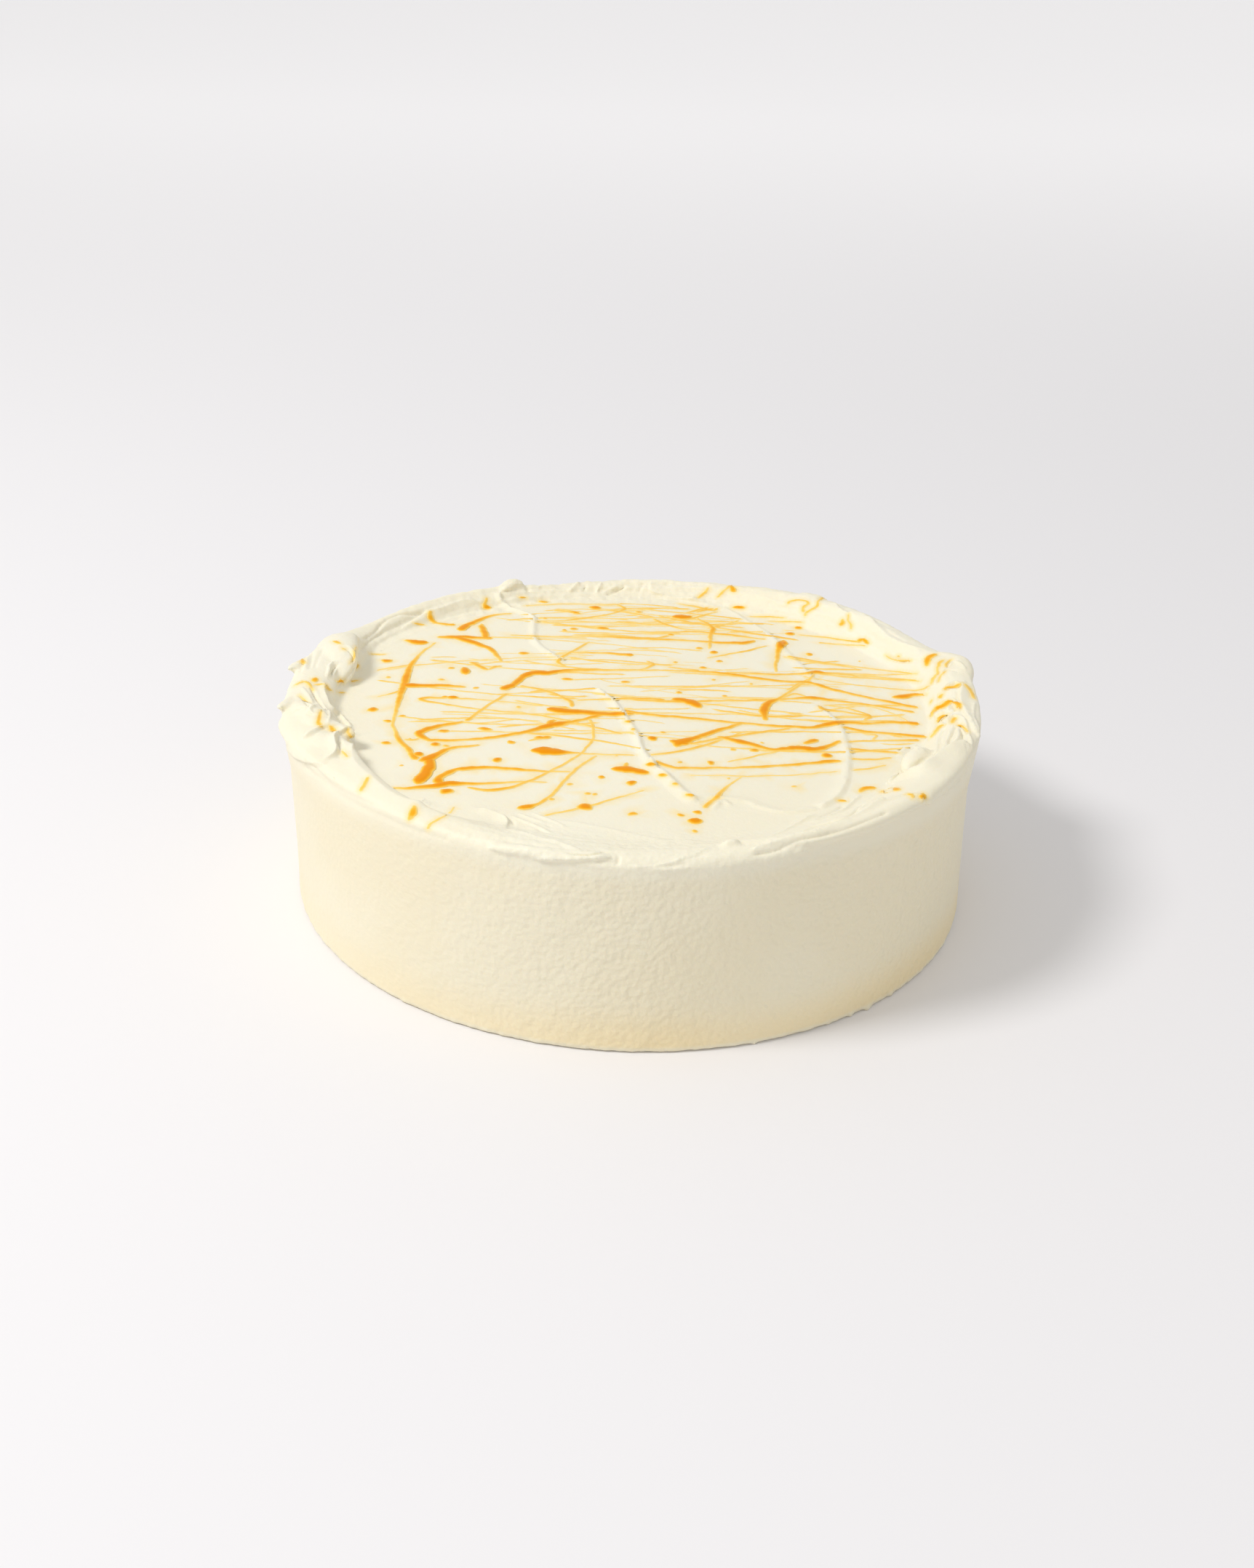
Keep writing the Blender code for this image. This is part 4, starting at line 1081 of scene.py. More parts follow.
# Sauce that landed on the rim and ran into its folds
rimStrokes = (
    # left
    ((-126, 54, 1.6), (-124, 53, 2.6), (-122, 50.5, 1.8)),
    ((-121.5, 47.5, 1.2), (-119, 45, 1.6)),
    ((-115.5, 49, 0.9), (-115, 42, 1.2), (-115, 36, 1.2), (-115.5, 31.5, 1)),
    ((-112.5, 31, 1.4), (-112.5, 28, 2.6), (-112, 25.5, 1.4)),
    ((-136, 38, 1.2), (-135.8, 35, 1.4), (-134.3, 30.5, 2.4), (-133.5, 28.5, 1)),
    ((-126.6, 16, 2), (-126.4, 13, 3.2), (-126.2, 10.5, 1.8)),
    ((-133.5, 7, 1.2), (-131, 10.5, 1.6), (-128.5, 9.5, 1.8), (-127, 6.5, 1.4), (-125, 2, 0.8)),
    ((-126.5, 8.5, 1.2), (-124, 9, 1.8), (-122, 9.5, 1.2), (-120, 5.5, 1.6), (-118, 2.8, 1.2)),
    ((-130, -2, 0.8), (-127, -7, 1.2), (-124.5, -11, 1.8)),
    ((-124.5, -9.5, 1.2), (-122, -9.5, 1.8)),
    ((-128.5, -17, 1.4), (-128.4, -20, 2.2)),
    ((-119.3, -12, 1), (-119.3, -20, 1.6), (-118.3, -27, 2.2), (-116.5, -31, 2)),
    ((-114, -28.5, 1.8), (-112, -33, 2.6), (-110.8, -34.5, 1.4)),
    ((-107, -30, 1.4), (-106.5, -34, 1.6), (-105, -38, 2), (-103.5, -38.5, 3)),
    ((-106, -50, 1), (-104.5, -53, 1.4), (-103, -56, 1)),
    ((-117, 15, 2.6), (-116.5, 12.5, 3.2), (-115, 11.5, 2.4)),
    ((-116, 12.5, 2), (-112, 13, 1.6), (-109, 15, 1.3)),
    ((-116, 2, 1.4), (-112.5, 2, 1.8)),
    ((-113.2, 61, 1.2), (-113, 58.5, 1.2)),
    ((-111, 36.5, 1.6), (-111.5, 34.5, 1.4)),
    # front left
    ((-75, -91, 1), (-74.5, -96, 3.2), (-74.8, -100, 2.8), (-75.2, -103.5, 1.4)),
    ((-93, -70.5, 1.4), (-94, -76, 1.8), (-94.8, -83, 1.6)),
    ((-61, -91, 0.9), (-62, -96, 1), (-65, -101, 1.4), (-67.5, -105, 1.4), (-68, -109, 1)),
    ((-67, -89.5, 1.2), (-64, -89, 2)),
    # front right
    ((80.6, -69.3, 1.6), (83.6, -65.3, 3.4), (87.6, -64.3, 2.6)),
    ((97.5, -68.5, 1), (99.5, -68.5, 2), (99.6, -72, 1.6)),
    ((103.6, -67, 2.2), (103.3, -70.5, 3.2), (103, -73, 1.8)),
    # right folds
    ((119.5, 50, 1.8), (120.5, 56, 3), (121.8, 60.5, 3.4), (125.3, 65, 2.6)),
    ((119, 31, 1), (120, 37, 1.5), (123, 43, 1.3), (124, 50, 1.4), (126, 56, 2), (127.5, 58.5, 1.4)),
    ((122, 34, 0.9), (124, 41, 1.1), (126.5, 46, 1.3)),
    ((127.3, 50, 1.3), (128, 54, 1.6), (131, 59, 1)),
    ((123.5, 26, 1.2), (125, 29, 2.4), (128.5, 30, 2.6), (131, 34, 1.6)),
    ((120.4, 17, 1.8), (121.2, 20, 1.8), (122.5, 23, 0.8)),
    ((116, 12, 0.8), (117.5, 17, 1)),
    ((115, -1, 1.3), (116.5, 5, 1.8), (119, 9, 3.4), (121.5, 11, 3), (124.5, 15.5, 3.2), (127, 13, 3.2),
     (126.5, 8, 1.8)),
    ((116.5, -6, 1.3), (119, -1, 2.6), (121.6, 2.4, 2.6)),
    ((112, -20, 1.1), (115, -14, 1.6), (117.5, -9, 1.8), (119.5, -7, 1.3)),
    ((121.8, -6, 1.6), (123.5, -2, 2.2), (125, 0, 1.5)),
    ((124, -7, 2), (126.5, -9, 1.8), (127.3, -14, 1.3)),
    ((132, 34, 1.3), (133.5, 30, 1.8), (134.5, 22, 1.8), (134.8, 18, 1.3)),
    # back right
    ((103.5, 61, 0.9), (106, 57, 1.4), (110, 55.5, 2.2), (114, 56, 1.8)),
    ((112.7, 71.5, 1.4), (113, 68.5, 1.4)),
    ((93.5, 74.5, 3.4), (96, 78, 3.2), (97.5, 72, 2.8)),
    ((92.5, 107, 1), (91.5, 100, 1.1), (92, 93, 1.6), (91.5, 88.5, 1.1)),
    ((87.5, 92, 1.6), (88.6, 96, 2.8), (89.5, 101, 1)),
    ((65.8, 116, 1.3), (67.5, 120, 1.8), (70.5, 122, 2), (74, 121, 1.8), (75, 118, 1.8),
     (72.5, 112, 1.8), (72, 107, 1.8)),
    ((73, 102, 1.1), (73.5, 107, 1.6), (77, 112, 1.8), (79, 115, 1.6), (80, 121, 1.4), (83, 127, 2.2),
     (85, 125, 2)),
    # back
    ((26.5, 119, 1.6), (28.5, 125, 2), (30.5, 130, 1.6), (31.5, 134, 1.2)),
    ((35, 121, 1.2), (37, 127, 1.6), (39.5, 133, 1.6), (41.5, 137, 2.4), (42, 131, 3.6), (42, 128, 2)),
    ((16.5, 118.5, 1.2), (16.8, 116.5, 1.2)),
)

# Round drops: x, y, size, and how far each is drawn out sideways
drops = (
    (-101, 35, 4, 1.3), (-74, 30, 2.8, 1), (-77, 18, 2.6, 1.2), (-98, 18.5, 2.4, 1),
    (-62.5, 11, 2.6, 1), (-66, 36, 2.8, 1.6), (-62, 32, 2.6, 1.2), (-57, 33, 2.6, 1.4),
    (-46.5, 48.5, 3.6, 1.4), (-19, 103, 4.4, 1.3), (0, 100, 3, 1.2), (-42, 108, 3.2, 1.4),
    (-51, 112.5, 2.6, 1.2), (-40, 88.5, 2.4, 1), (-15, 79, 3.6, 1.7), (-27, 77.5, 3, 1.2),
    (-31, 75.5, 2.8, 1.2), (-27, 23, 3.2, 1.7), (-4, 22.5, 3.4, 1.2), (-100, -13, 4.2, 1.2),
    (-88, -18, 2.8, 1.2), (-93, -23, 3.2, 1.2), (-83, -38, 1.8, 1), (-91, -42.5, 3.4, 1.2),
    (-73, -42, 4.2, 1.1), (-69, -43, 2.6, 1.2), (-49, -53, 4.2, 1), (-83, -60.5, 2, 1),
    (-78, -51, 4.6, 1.1), (-71, -30, 3.6, 1.6), (-56, -27, 3.6, 1.7), (-45, -38, 3.2, 1.1),
    (-35, -33, 3.6, 1.4), (-11, -64, 3.4, 1), (0, -68, 4.2, 1), (-22, -70.5, 2.4, 1),
    (-15.5, -77.5, 2.4, 1.1), (-13, -78, 2.4, 1), (-16, -88, 5, 1.3), (0.5, -92, 3, 1.1),
    (-28, -83, 2.4, 1.1), (-65, -80, 4.4, 1.3), (69, 88, 4, 1), (71.5, 58.5, 3.4, 1),
    (92, 53.5, 1.8, 1), (44, 110, 4.2, 1.5), (32, 57, 3.8, 1.1), (34, 47.5, 3.2, 1.1), (26, 61, 3, 1.2),
    (27, 40, 3.2, 1.1), (16, 45, 2.6, 1), (35, 12, 2.4, 1), (17, 14, 3, 1), (31, 28, 2, 1),
    (46, 25, 2, 1), (7, -30, 5, 0.85), (11, -24, 2.6, 1), (28.5, -49, 3.6, 1), (17, -49.5, 2.2, 1),
    (34.5, -61.5, 2, 1), (58, -66, 2.2, 1), (71.5, -39, 4.4, 1.1), (45, -37, 3.2, 1.3),
    (37, -37, 2.4, 1.2), (17, -91.5, 3, 1.1), (22, -95.5, 5.2, 1.1), (22, -103, 2.4, 1),
    (23, -89, 3.6, 1.1), (65, 81, 4.2, 1.2), (14, 75, 3.4, 0.9), (-74, 1.5, 3, 1), (-71, 1, 4.4, 1.2),
    (103, -70, 3.4, 0.9), (99, -69, 2.4, 0.8), (-127, 13, 3, 0.9), (-6, -46, 1.6, 1), (-45, -6, 2.2, 1),
    (48, -30, 1.8, 1), (109, 60, 1.6, 1), (74, -76, 2.4, 1.4), (-2.3, -15.6, 3, 1.1),
    (6.7, -52.2, 3.6, 1.3), (10.7, -60.7, 3, 1.2), (15.4, -67.6, 2.4, 1.1), (20.7, -75.6, 3, 1.3),
    (-0.4, -22.1, 2, 1), (89.7, -67.5, 2.4, 1.2), (93.9, -65, 3.4, 1.4),
)

sauce = {
    "step": 1.1,
    "guideStep": 4.0,
    "leastWidth": 0.25,
    "rise": 0.22,  # height of a stroke as a part of its half width
    "sink": 0.03,  # how deep its edge lies in the cream
    "sides": 10,
    "endPower": 1.6,  # how soon an end is at its full width
    "endWidth": 0.12,  # what is left of the width at the very end
    "swell": (0.72, 0.56),  # the least part of the width, and what the swelling adds
    "waver": (160.0, 1.6),  # scale of a stroke's wavering, and how far it goes aside
    "swellScale": 330.0,
    "dropWaver": (260.0, 2.2),
    "dropSides": (16, 8),
    "longestStep": 2.4,  # a longer stretch of a stroke is a jump over a ridge
    "leastPoints": 35,  # smaller scraps left by such jumps are dropped
}

# The thinnest threads of sauce, flicked from side to side, more of them towards the back
threadSet = {
    "count": 112,
    "seed": 21,
    "width": (0.8, 1.8),
    "widthChange": (0.7, 1.3),
    "length": (8.0, 85.0),
    "furthestBack": 112.0,
    "depth": 152.0,  # from there to the front
    "crowding": 1.2,  # over 1 for more of them at the back
    "startWithin": 108.0,
    "overhang": 0.4,  # least part of a thread that lies on the top
    "lean": (3.0, 9.0),  # degrees, and how much that varies
    "bow": 0.05,
    "parts": (0.0, 0.3, 0.65, 1.0),
    "endWithin": 110.0,
    "stepPart": 1.8,  # length of a step, as a part of the strokes' own
    "jumpPart": 1.4,
}


def fineStrokes():
    draw = random.Random(threadSet["seed"])
    threads = []
    for number in range(threadSet["count"]):
        y = threadSet["furthestBack"] - threadSet["depth"] * draw.random() ** threadSet["crowding"]
        half = math.sqrt(max(0.0, threadSet["startWithin"] ** 2 - y * y))
        length = draw.uniform(*threadSet["length"])
        x = draw.uniform(-half, half - threadSet["overhang"] * length)
        lean = math.radians(draw.gauss(*threadSet["lean"]))
        bow = draw.gauss(0.0, threadSet["bow"]) * length
        width = draw.uniform(*threadSet["width"])
        points = []
        for part in threadSet["parts"]:
            px = x + length * part * math.cos(lean)
            py = y + length * part * math.sin(lean) + bow * math.sin(math.pi * part)
            if math.hypot(px, py) < threadSet["endWithin"]:
                points.append((px, py, width * draw.uniform(*threadSet["widthChange"])))
        if len(points) > 1:
            threads.append(tuple(points))
    return threads


def strokeGuide(name, rows):
    # Edge mesh on the flat level that carries the width of each stroke
    points = []
    edges = []
    widths = []
    for row in rows:
        path = smoothPath(row, sauce["guideStep"])
        start = len(points)
        for x, y, width in path:
            points.append((x * mm, y * mm, flatTop * mm))
            widths.append(max(width, sauce["leastWidth"]) * mm)
        edges += [(start + i, start + i + 1) for i in range(len(path) - 1)]
    mesh = bpy.data.meshes.new(name)
    mesh.from_pydata(points, edges, [])
    giveValues(mesh, "width", widths)
    return linkObject(name, mesh)


def dropGuide(name, rows):
    mesh = bpy.data.meshes.new(name)
    mesh.from_pydata([(x * mm, y * mm, flatTop * mm) for x, y, size, drawn in rows], [], [])
    giveValues(mesh, "size", [row[2] * mm for row in rows])
    giveValues(mesh, "drawn", [row[3] for row in rows])
    return linkObject(name, mesh)


def newGeometryTree(name, sizes):
    # A modifier tree with named number inputs; gives the tree's graph and its input wires
    tree = bpy.data.node_groups.new(name, "GeometryNodeTree")
    tree.interface.new_socket("Geometry", in_out="INPUT", socket_type="NodeSocketGeometry")
    tree.interface.new_socket("Cream", in_out="INPUT", socket_type="NodeSocketObject")
    for label in sizes:
        tree.interface.new_socket(label, in_out="INPUT", socket_type="NodeSocketFloat")
    tree.interface.new_socket("Geometry", in_out="OUTPUT", socket_type="NodeSocketGeometry")
    graph = Graph(tree)
    return graph, graph.add("NodeGroupInput", out=None)


def named(graph, name):
    return graph.add("GeometryNodeInputNamedAttribute", {"data_type": "FLOAT"}, {"Name": name})


def wavered(graph, shape, scaleAndFar):
    # Points of a shape, each moved aside a little
    scale, far = scaleAndFar
    place = graph.add("GeometryNodeInputPosition")
    waver = graph.vector("SUBTRACT", graph.noise(place, scale, 1.0, "Color"), (0.5, 0.5, 0.5))
    aside = graph.vector("MULTIPLY", waver, (far * mm, far * mm, 0.0))
    return graph.add("GeometryNodeSetPosition", None, {"Geometry": shape, "Offset": aside})


def reshaped(graph, shape, ways):
    # A shape whose x, y and z are worked out again from its own
    spot = graph.split(graph.add("GeometryNodeInputPosition"))
    place = graph.join(*ways(spot["X"], spot["Y"], spot["Z"]))
    return graph.add("GeometryNodeSetPosition", None, {"Geometry": shape, "Position": place})


def magnitude(wire):
    return wire.most(0.0 - wire)


def conform(graph, shape, given):
    # Slide a shape drawn on the flat level along the line of sight onto the cream, keeping
    # its height above the level as its height above the cream
    eye = tuple(cameraPlace())
    parts = graph.split(graph.add("GeometryNodeInputPosition"))
    above = parts["Z"] - given["Level"]
    level = graph.join(parts["X"], parts["Y"], given["Level"])
    ahead = graph.vector("NORMALIZE", graph.vector("SUBTRACT", level, eye))
    back = graph.vector("SCALE", ahead, scale=given["Reach"])
    cream = graph.add(
        "GeometryNodeObjectInfo",
        {"transform_space": "RELATIVE"},
        {"Object": given["Cream"]},
        "Geometry",
    )
    hit = graph.add(
        "GeometryNodeRaycast",
        {"data_type": "FLOAT_VECTOR"},
        {
            "Target Geometry": cream,
            "Attribute": graph.add("GeometryNodeInputNormal"),
            "Source Position": graph.vector("SUBTRACT", level, back),
            "Ray Direction": ahead,
            "Ray Length": 1.0,
        },
        None,
    )
    proud = above - sauce["sink"] * mm
    lifted = graph.vector("SCALE", hit["Attribute"], scale=proud)
    lifted = graph.vector("ADD", hit["Hit Position"], lifted)
    held = graph.add(
        "GeometryNodeStoreNamedAttribute",
        {"data_type": "FLOAT", "domain": "POINT"},
        {"Geometry": shape, "Name": "depth", "Value": above / mm},
    )
    return graph.add("GeometryNodeSetPosition", None, {"Geometry": held, "Position": lifted})


def finishTree(graph, shape, material):
    smooth = graph.add("GeometryNodeSetShadeSmooth", None, {"Geometry": shape})
    real = graph.add("GeometryNodeRealizeInstances", None, {"Geometry": smooth})
    coloured = graph.add("GeometryNodeSetMaterial", None, {"Geometry": real, "Material": material})
    graph.add("NodeGroupOutput", None, {"Geometry": coloured})


def strokeTree(material):
    graph, given = newGeometryTree("sauce strokes", ("Step", "Rise", "Level", "Reach"))
    curve = graph.add("GeometryNodeMeshToCurve", None, {"Mesh": given["Geometry"]})
    curve = graph.add("GeometryNodeCurveSplineType", {"spline_type": "CATMULL_ROM"}, {"Curve": curve})
    spacing = {"Curve": curve, "Length": given["Step"]}
    curve = graph.add("GeometryNodeResampleCurve", {"mode": "LENGTH"}, spacing)
    curve = wavered(graph, curve, sauce["waver"])
    width = named(graph, "width")
    along = graph.add("GeometryNodeSplineParameter", None, None, "Length")
    whole = graph.add("GeometryNodeSplineLength", None, None, "Length")
    near = (along.least(whole - along) / width * sauce["endPower"]).least(1.0)
    rounded = (1.0 - (1.0 - near) ** 2.0) ** 0.5
    swell = graph.noise(graph.add("GeometryNodeInputPosition"), sauce["swellScale"], 2.0)
    least, more = sauce["swell"]
    radius = 0.5 * width * rounded.most(sauce["endWidth"]) * (least + more * swell)
    curve = graph.add("GeometryNodeSetCurveNormal", {"mode": "Z_UP"}, {"Curve": curve})
    ring = graph.add(
        "GeometryNodeCurvePrimitiveCircle",
        {"mode": "RADIUS"},
        {"Resolution": sauce["sides"], "Radius": 1.0},
    )
    ring = reshaped(graph, ring, lambda x, y, z: (x, y * magnitude(y) * given["Rise"], 0.0))
    tube = graph.add(
        "GeometryNodeCurveToMesh",
        None,
        {"Curve": curve, "Profile Curve": ring, "Scale": radius, "Fill Caps": True},
    )
    finishTree(graph, conform(graph, tube, given), material)
    return graph.tree


def dropTree(material):
    graph, given = newGeometryTree("sauce drops", ("Rise", "Level", "Reach"))
    across = named(graph, "size")
    segments, rings = sauce["dropSides"]
    ball = graph.add(
        "GeometryNodeMeshUVSphere",
        None,
        {"Segments": segments, "Rings": rings, "Radius": 0.5},
        "Mesh",
    )
    ball = reshaped(graph, ball, lambda x, y, z: (x, y, 2.0 * z * magnitude(z)))
    scale = graph.join(across * named(graph, "drawn"), across, across * given["Rise"])
    spread = graph.add(
        "GeometryNodeInstanceOnPoints",
        None,
        {"Points": given["Geometry"], "Instance": ball, "Scale": scale},
    )
    real = graph.add("GeometryNodeRealizeInstances", None, {"Geometry": spread})
    finishTree(graph, conform(graph, wavered(graph, real, sauce["dropWaver"]), given), material)
    return graph.tree


def runTree(piece, tree, values):
    # Give the tree its inputs by their identifiers, then keep the result as a plain mesh
    work = piece.modifiers.new("work", "NODES")
    work.node_group = tree
    inputs = [item for item in tree.interface.items_tree if item.in_out == "INPUT"]
    names = {item.name: item.identifier for item in inputs}
    for label, value in values.items():
        work[names[label]] = value
    return applyModifiers(piece)


def joinedTo(vert, waiting):
    # All the points that edges lead to from one, taken out of those that wait
    island = {vert}
    border = [vert]
    while border:
        for edge in border.pop().link_edges:
            for end in edge.verts:
                if end not in island:
                    island.add(end)
                    border.append(end)
    waiting -= island
    return island


def closeJumps(mesh, longest):
    # Where sauce drops over the far side of a ridge it is parted, and both ends are shut
    bm = bmesh.new()
    bm.from_mesh(mesh)
    parted = [f for f in bm.faces if max(e.calc_length() for e in f.edges) > longest * mm]
    bmesh.ops.delete(bm, geom=parted, context="FACES")
    bmesh.ops.holes_fill(bm, edges=[e for e in bm.edges if e.is_boundary], sides=0)
    waiting = set(bm.verts)
    while waiting:
        island = joinedTo(waiting.pop(), waiting)
        if len(island) < sauce["leastPoints"]:
            for vert in island:
                bm.verts.remove(vert)
    bmesh.ops.recalc_face_normals(bm, faces=bm.faces[:])
    for face in bm.faces:
        face.smooth = True
    bm.to_mesh(mesh)
    bm.free()


creamFinish = {
    "topColour": (245, 239, 217),
    # A yellower cream: painted warm bounce light on the wall, also mixed in at random over the whole coat as
    # cloudy tone
    "wallColour": (242, 232, 203),
    # Painted warm bounce light from the gold board, in a band round the foot
    "footColour": (247, 226, 178),
    "stainColour": (252, 224, 150),
    "stained": 0.75,
    "stainWidth": 1.8,  # the sauce's colour reaches this far, in mm
    "stainPower": 1.5,
    "stainFrom": 60.0,  # and no lower than this
    "clouds": 14.0,
    "cloudEdges": (0.35, 0.65),
    "wallTop": (0.064, 0.071),  # metres: the wall's painted warm bounce light ends between these heights
    "footEdge": (0.0012, 0.003),  # the foot's band of painted warm bounce light starts and ends here
    "footTop": (0.003, 0.022),
    "footRight": (-0.11, 0.0),  # it is stronger to the right of this
    "grain": 560.0,
    "pebble": 500.0,
    "dents": 150.0,
    "frontEdge": (-0.09, 0.02),  # the wall is rougher at the front and to the right
    "rightEdge": (-0.12, 0.02),
    "bandEdge": (-0.116, -0.094),  # and so is the low front of the rim
    "bumpDistance": 0.0012,
    "bumpStrength": 0.5,
    "softness": 0.2,
    "softDepth": 0.0025,
}


def creamMaterial():
    finish = creamFinish
    material, graph = newShader("whipped cream")
    place = graph.add("ShaderNodeTexCoord", None, None, "Object")
    parts = graph.split(place)
    broad = graph.noise(place, finish["clouds"], 3.0)
    # Painted light: below the wall's top the cream is mixed towards a yellower colour that stands in for warm
    # bounce light; the clouds mix some of it in at random everywhere
    onWall = 1.0 - parts["Z"].step(*finish["wallTop"])
    tone = graph.mix(
        broad.step(*finish["cloudEdges"]) * 0.4 + onWall * 0.6,
        linear(*finish["topColour"]),
        linear(*finish["wallColour"]),
    )
    # Painted light: a warm band round the foot, stronger to the right, stands in for light thrown up from the
    # gold board
    low = (1.0 - parts["Z"].step(*finish["footTop"])) * parts["Z"].step(*finish["footEdge"])
    low = low * (0.3 + 0.7 * parts["X"].step(*finish["footRight"]))
    tone = graph.mix(low * (0.45 + 0.4 * broad), tone, linear(*finish["footColour"]))
    stain = graph.add("ShaderNodeAttribute", {"attribute_name": "stain"}, None, "Fac")
    colour = graph.mix(stain * finish["stained"], tone, linear(*finish["stainColour"]))
    grain = graph.noise(place, finish["grain"], 3.0, Roughness=0.6)
    pebble = graph.noise(place, finish["pebble"], 0.6)
    dents = graph.noise(place, finish["dents"], 1.0)
    front = 1.0 - parts["Y"].step(*finish["frontEdge"])
    rightward = parts["X"].step(*finish["rightEdge"])
    band = 1.0 - parts["Y"].step(*finish["bandEdge"])
    coarse = (0.25 + 0.65 * front * rightward) * onWall + 0.5 * band * (1.0 - onWall)
    relief = grain * 0.25 + (pebble + dents) * coarse
    bump = graph.add(
        "ShaderNodeBump",
        None,
        {
            "Strength": finish["bumpStrength"],
            "Distance": finish["bumpDistance"],
            "Height": relief,
        },
    )
    graph.finish(
        {
            "Base Color": colour,
            "Roughness": 0.42 + 0.14 * broad,
            "Subsurface Weight": finish["softness"],
            "Subsurface Radius": (1.0, 0.85, 0.6),
            "Subsurface Scale": finish["softDepth"],
            "Specular IOR Level": 0.3,
            "Normal": bump,
        }
    )
    return material


sauceFinish = {
    "colours": (  # from the thinnest sauce to the deepest
        (0.0, (253, 228, 156)),
        (0.25, (250, 206, 102)),
        (0.6, (248, 181, 44)),
        (1.0, (240, 150, 0)),
    ),
    "deepest": 0.5,  # mm of sauce that show the last colour
    "clouds": 190.0,
    "cloudPart": 0.15,
    "ripples": 420.0,
    "bumpDistance": 0.0004,
    "bumpStrength": 0.15,
}


def sauceMaterial():
    finish = sauceFinish
    material, graph = newShader("yuzu sauce")
    depth = graph.add("ShaderNodeAttribute", {"attribute_name": "depth"}, None, "Fac")
    place = graph.add("ShaderNodeTexCoord", None, None, "Object")
    cloud = graph.noise(place, finish["clouds"], 2.0)
    thick = (depth + finish["cloudPart"] * (cloud - 0.5)).step(0.0, finish["deepest"])
    stops = [(part, linear(*shade)) for part, shade in finish["colours"]]
    colour = graph.add("ShaderNodeValToRGB", {"stops": stops}, {"Fac": thick}, "Color")
    bump = graph.add(
        "ShaderNodeBump",
        None,
        {
            "Strength": finish["bumpStrength"],
            "Distance": finish["bumpDistance"],
            "Height": graph.noise(place, finish["ripples"], 2.0),
        },
    )
    graph.finish(
        {
            "Base Color": colour,
            "Roughness": 0.12 + 0.12 * cloud,
            "Specular IOR Level": 0.06,
            "Normal": bump,
        }
    )
    return material


creamLook = creamMaterial()
sauceLook = sauceMaterial()

strokeTool = strokeTree(sauceLook)
dropTool = dropTree(sauceLook)
laid = {"Cream": creamCoat, "Rise": sauce["rise"], "Level": flatTop * mm, "Reach": sightReach * mm}

sauceStrokes = strokeGuide("sauceStrokes", strokes + pickedStrokes + rimStrokes)
runTree(sauceStrokes, strokeTool, dict(laid, Step=sauce["step"] * mm))
closeJumps(sauceStrokes.data, sauce["longestStep"])
print("sauce strokes:", len(sauceStrokes.data.polygons), "faces")

sauceThreads = strokeGuide("sauceThreads", fineStrokes())
runTree(sauceThreads, strokeTool, dict(laid, Step=threadSet["stepPart"] * sauce["step"] * mm))
closeJumps(sauceThreads.data, threadSet["jumpPart"] * sauce["longestStep"])
print("sauce threads:", len(sauceThreads.data.polygons), "faces")

sauceDrops = dropGuide("sauceDrops", drops)
runTree(sauceDrops, dropTool, laid)
closeJumps(sauceDrops.data, sauce["longestStep"])
print("sauce drops:", len(sauceDrops.data.polygons), "faces")


def stainCream():
    # The cream takes up a little colour beside the sauce
    finder = KDTree(sum(len(piece.data.vertices) for piece in (sauceStrokes, sauceDrops)))
    index = 0
    for piece in (sauceStrokes, sauceDrops):
        for place in readPoints(piece.data):
            finder.insert(place, index)
            index += 1
    finder.balance()
    values = []
    for place in readPoints(creamCoat.data):
        if place[2] < creamFinish["stainFrom"] * mm:
            values.append(0.0)
            continue
        gap = finder.find(place)[2] / mm
        values.append(max(0.0, 1.0 - gap / creamFinish["stainWidth"]) ** creamFinish["stainPower"])
    giveValues(creamCoat.data, "stain", values)


stainCream()
creamCoat.data.materials.clear()
creamCoat.data.materials.append(creamLook)
print("cream stained by the sauce")


# Floor and light, in metres

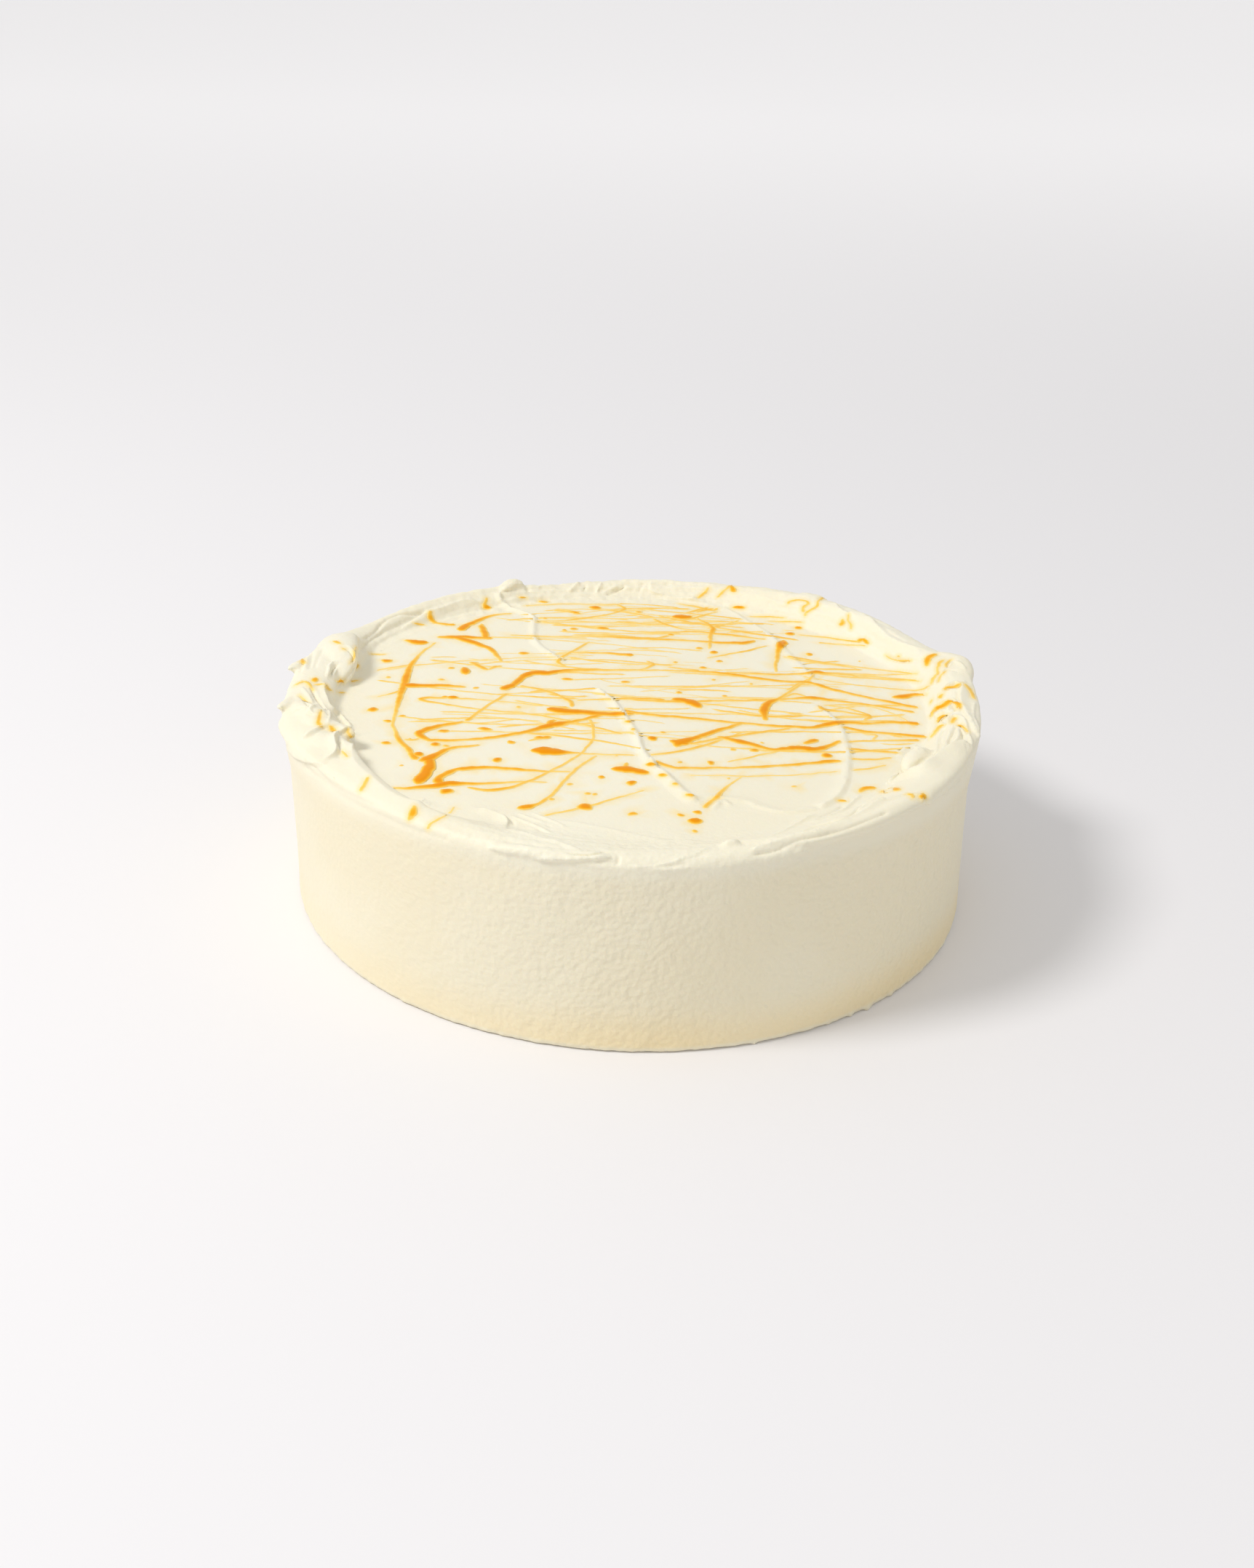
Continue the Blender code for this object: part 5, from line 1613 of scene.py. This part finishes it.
floorSet = {
    "size": 30.0,
    "colour": (240, 238, 239),
    "glow": 0.26,  # painted light: a glow added to the floor far behind the cake, brighter towards the back
    "glowFrom": (0.1, 2.5),
}


def addFloor():
    half = floorSet["size"] / 2
    corners = [(-half, -half, 0), (half, -half, 0), (half, half, 0), (-half, half, 0)]
    mesh = bpy.data.meshes.new("floor")
    mesh.from_pydata(corners, [], [(0, 1, 2, 3)])
    floor = linkObject("floor", mesh)
    material, graph = newShader("table")
    parts = graph.split(graph.add("ShaderNodeTexCoord", None, None, "Object"))
    far = parts["Y"].step(*floorSet["glowFrom"])
    graph.finish(
        {
            "Base Color": linear(*floorSet["colour"]),
            "Roughness": 0.7,
            "Specular IOR Level": 0.2,
            # Painted light: the floor glows, more of it further back
            "Emission Color": graph.mix(far * floorSet["glow"], (0, 0, 0, 1), (1, 0.99, 0.985, 1)),
            "Emission Strength": 1.0,
        }
    )
    mesh.materials.append(material)


keyLight = {
    "place": (-1.2, -0.45, 1.58),
    "aim": (0.0, 0.0, 0.05),
    "size": 0.6,
    "power": 20.0,
    "colour": (1.0, 0.995, 0.99),
}
skyLight = 0.648


def addLights():
    lamp = bpy.data.lights.new("key", "AREA")
    lamp.shape = "DISK"
    lamp.size = keyLight["size"]
    lamp.energy = keyLight["power"]
    lamp.color = keyLight["colour"]
    piece = bpy.data.objects.new("key", lamp)
    bpy.context.scene.collection.objects.link(piece)
    place = Vector(keyLight["place"])
    turn = (Vector(keyLight["aim"]) - place).to_track_quat("-Z", "Y")
    piece.matrix_world = Matrix.Translation(place) @ turn.to_matrix().to_4x4()
    world = bpy.data.worlds.new("soft room")
    world.use_nodes = True
    sky = world.node_tree.nodes["Background"].inputs
    sky["Color"].default_value = (1.0, 1.0, 1.0, 1.0)
    sky["Strength"].default_value = skyLight
    bpy.context.scene.world = world
    bpy.context.scene.view_settings.view_transform = "Standard"


addFloor()
addLights()
print("floor and light placed")


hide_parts("cake")
for piece, slot in (
    (creamCoat, "cream"),
    (sauceStrokes, "yuzu_sauce"),
    (sauceThreads, "yuzu_sauce"),
    (sauceDrops, "yuzu_sauce"),
):
    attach(piece, "root")
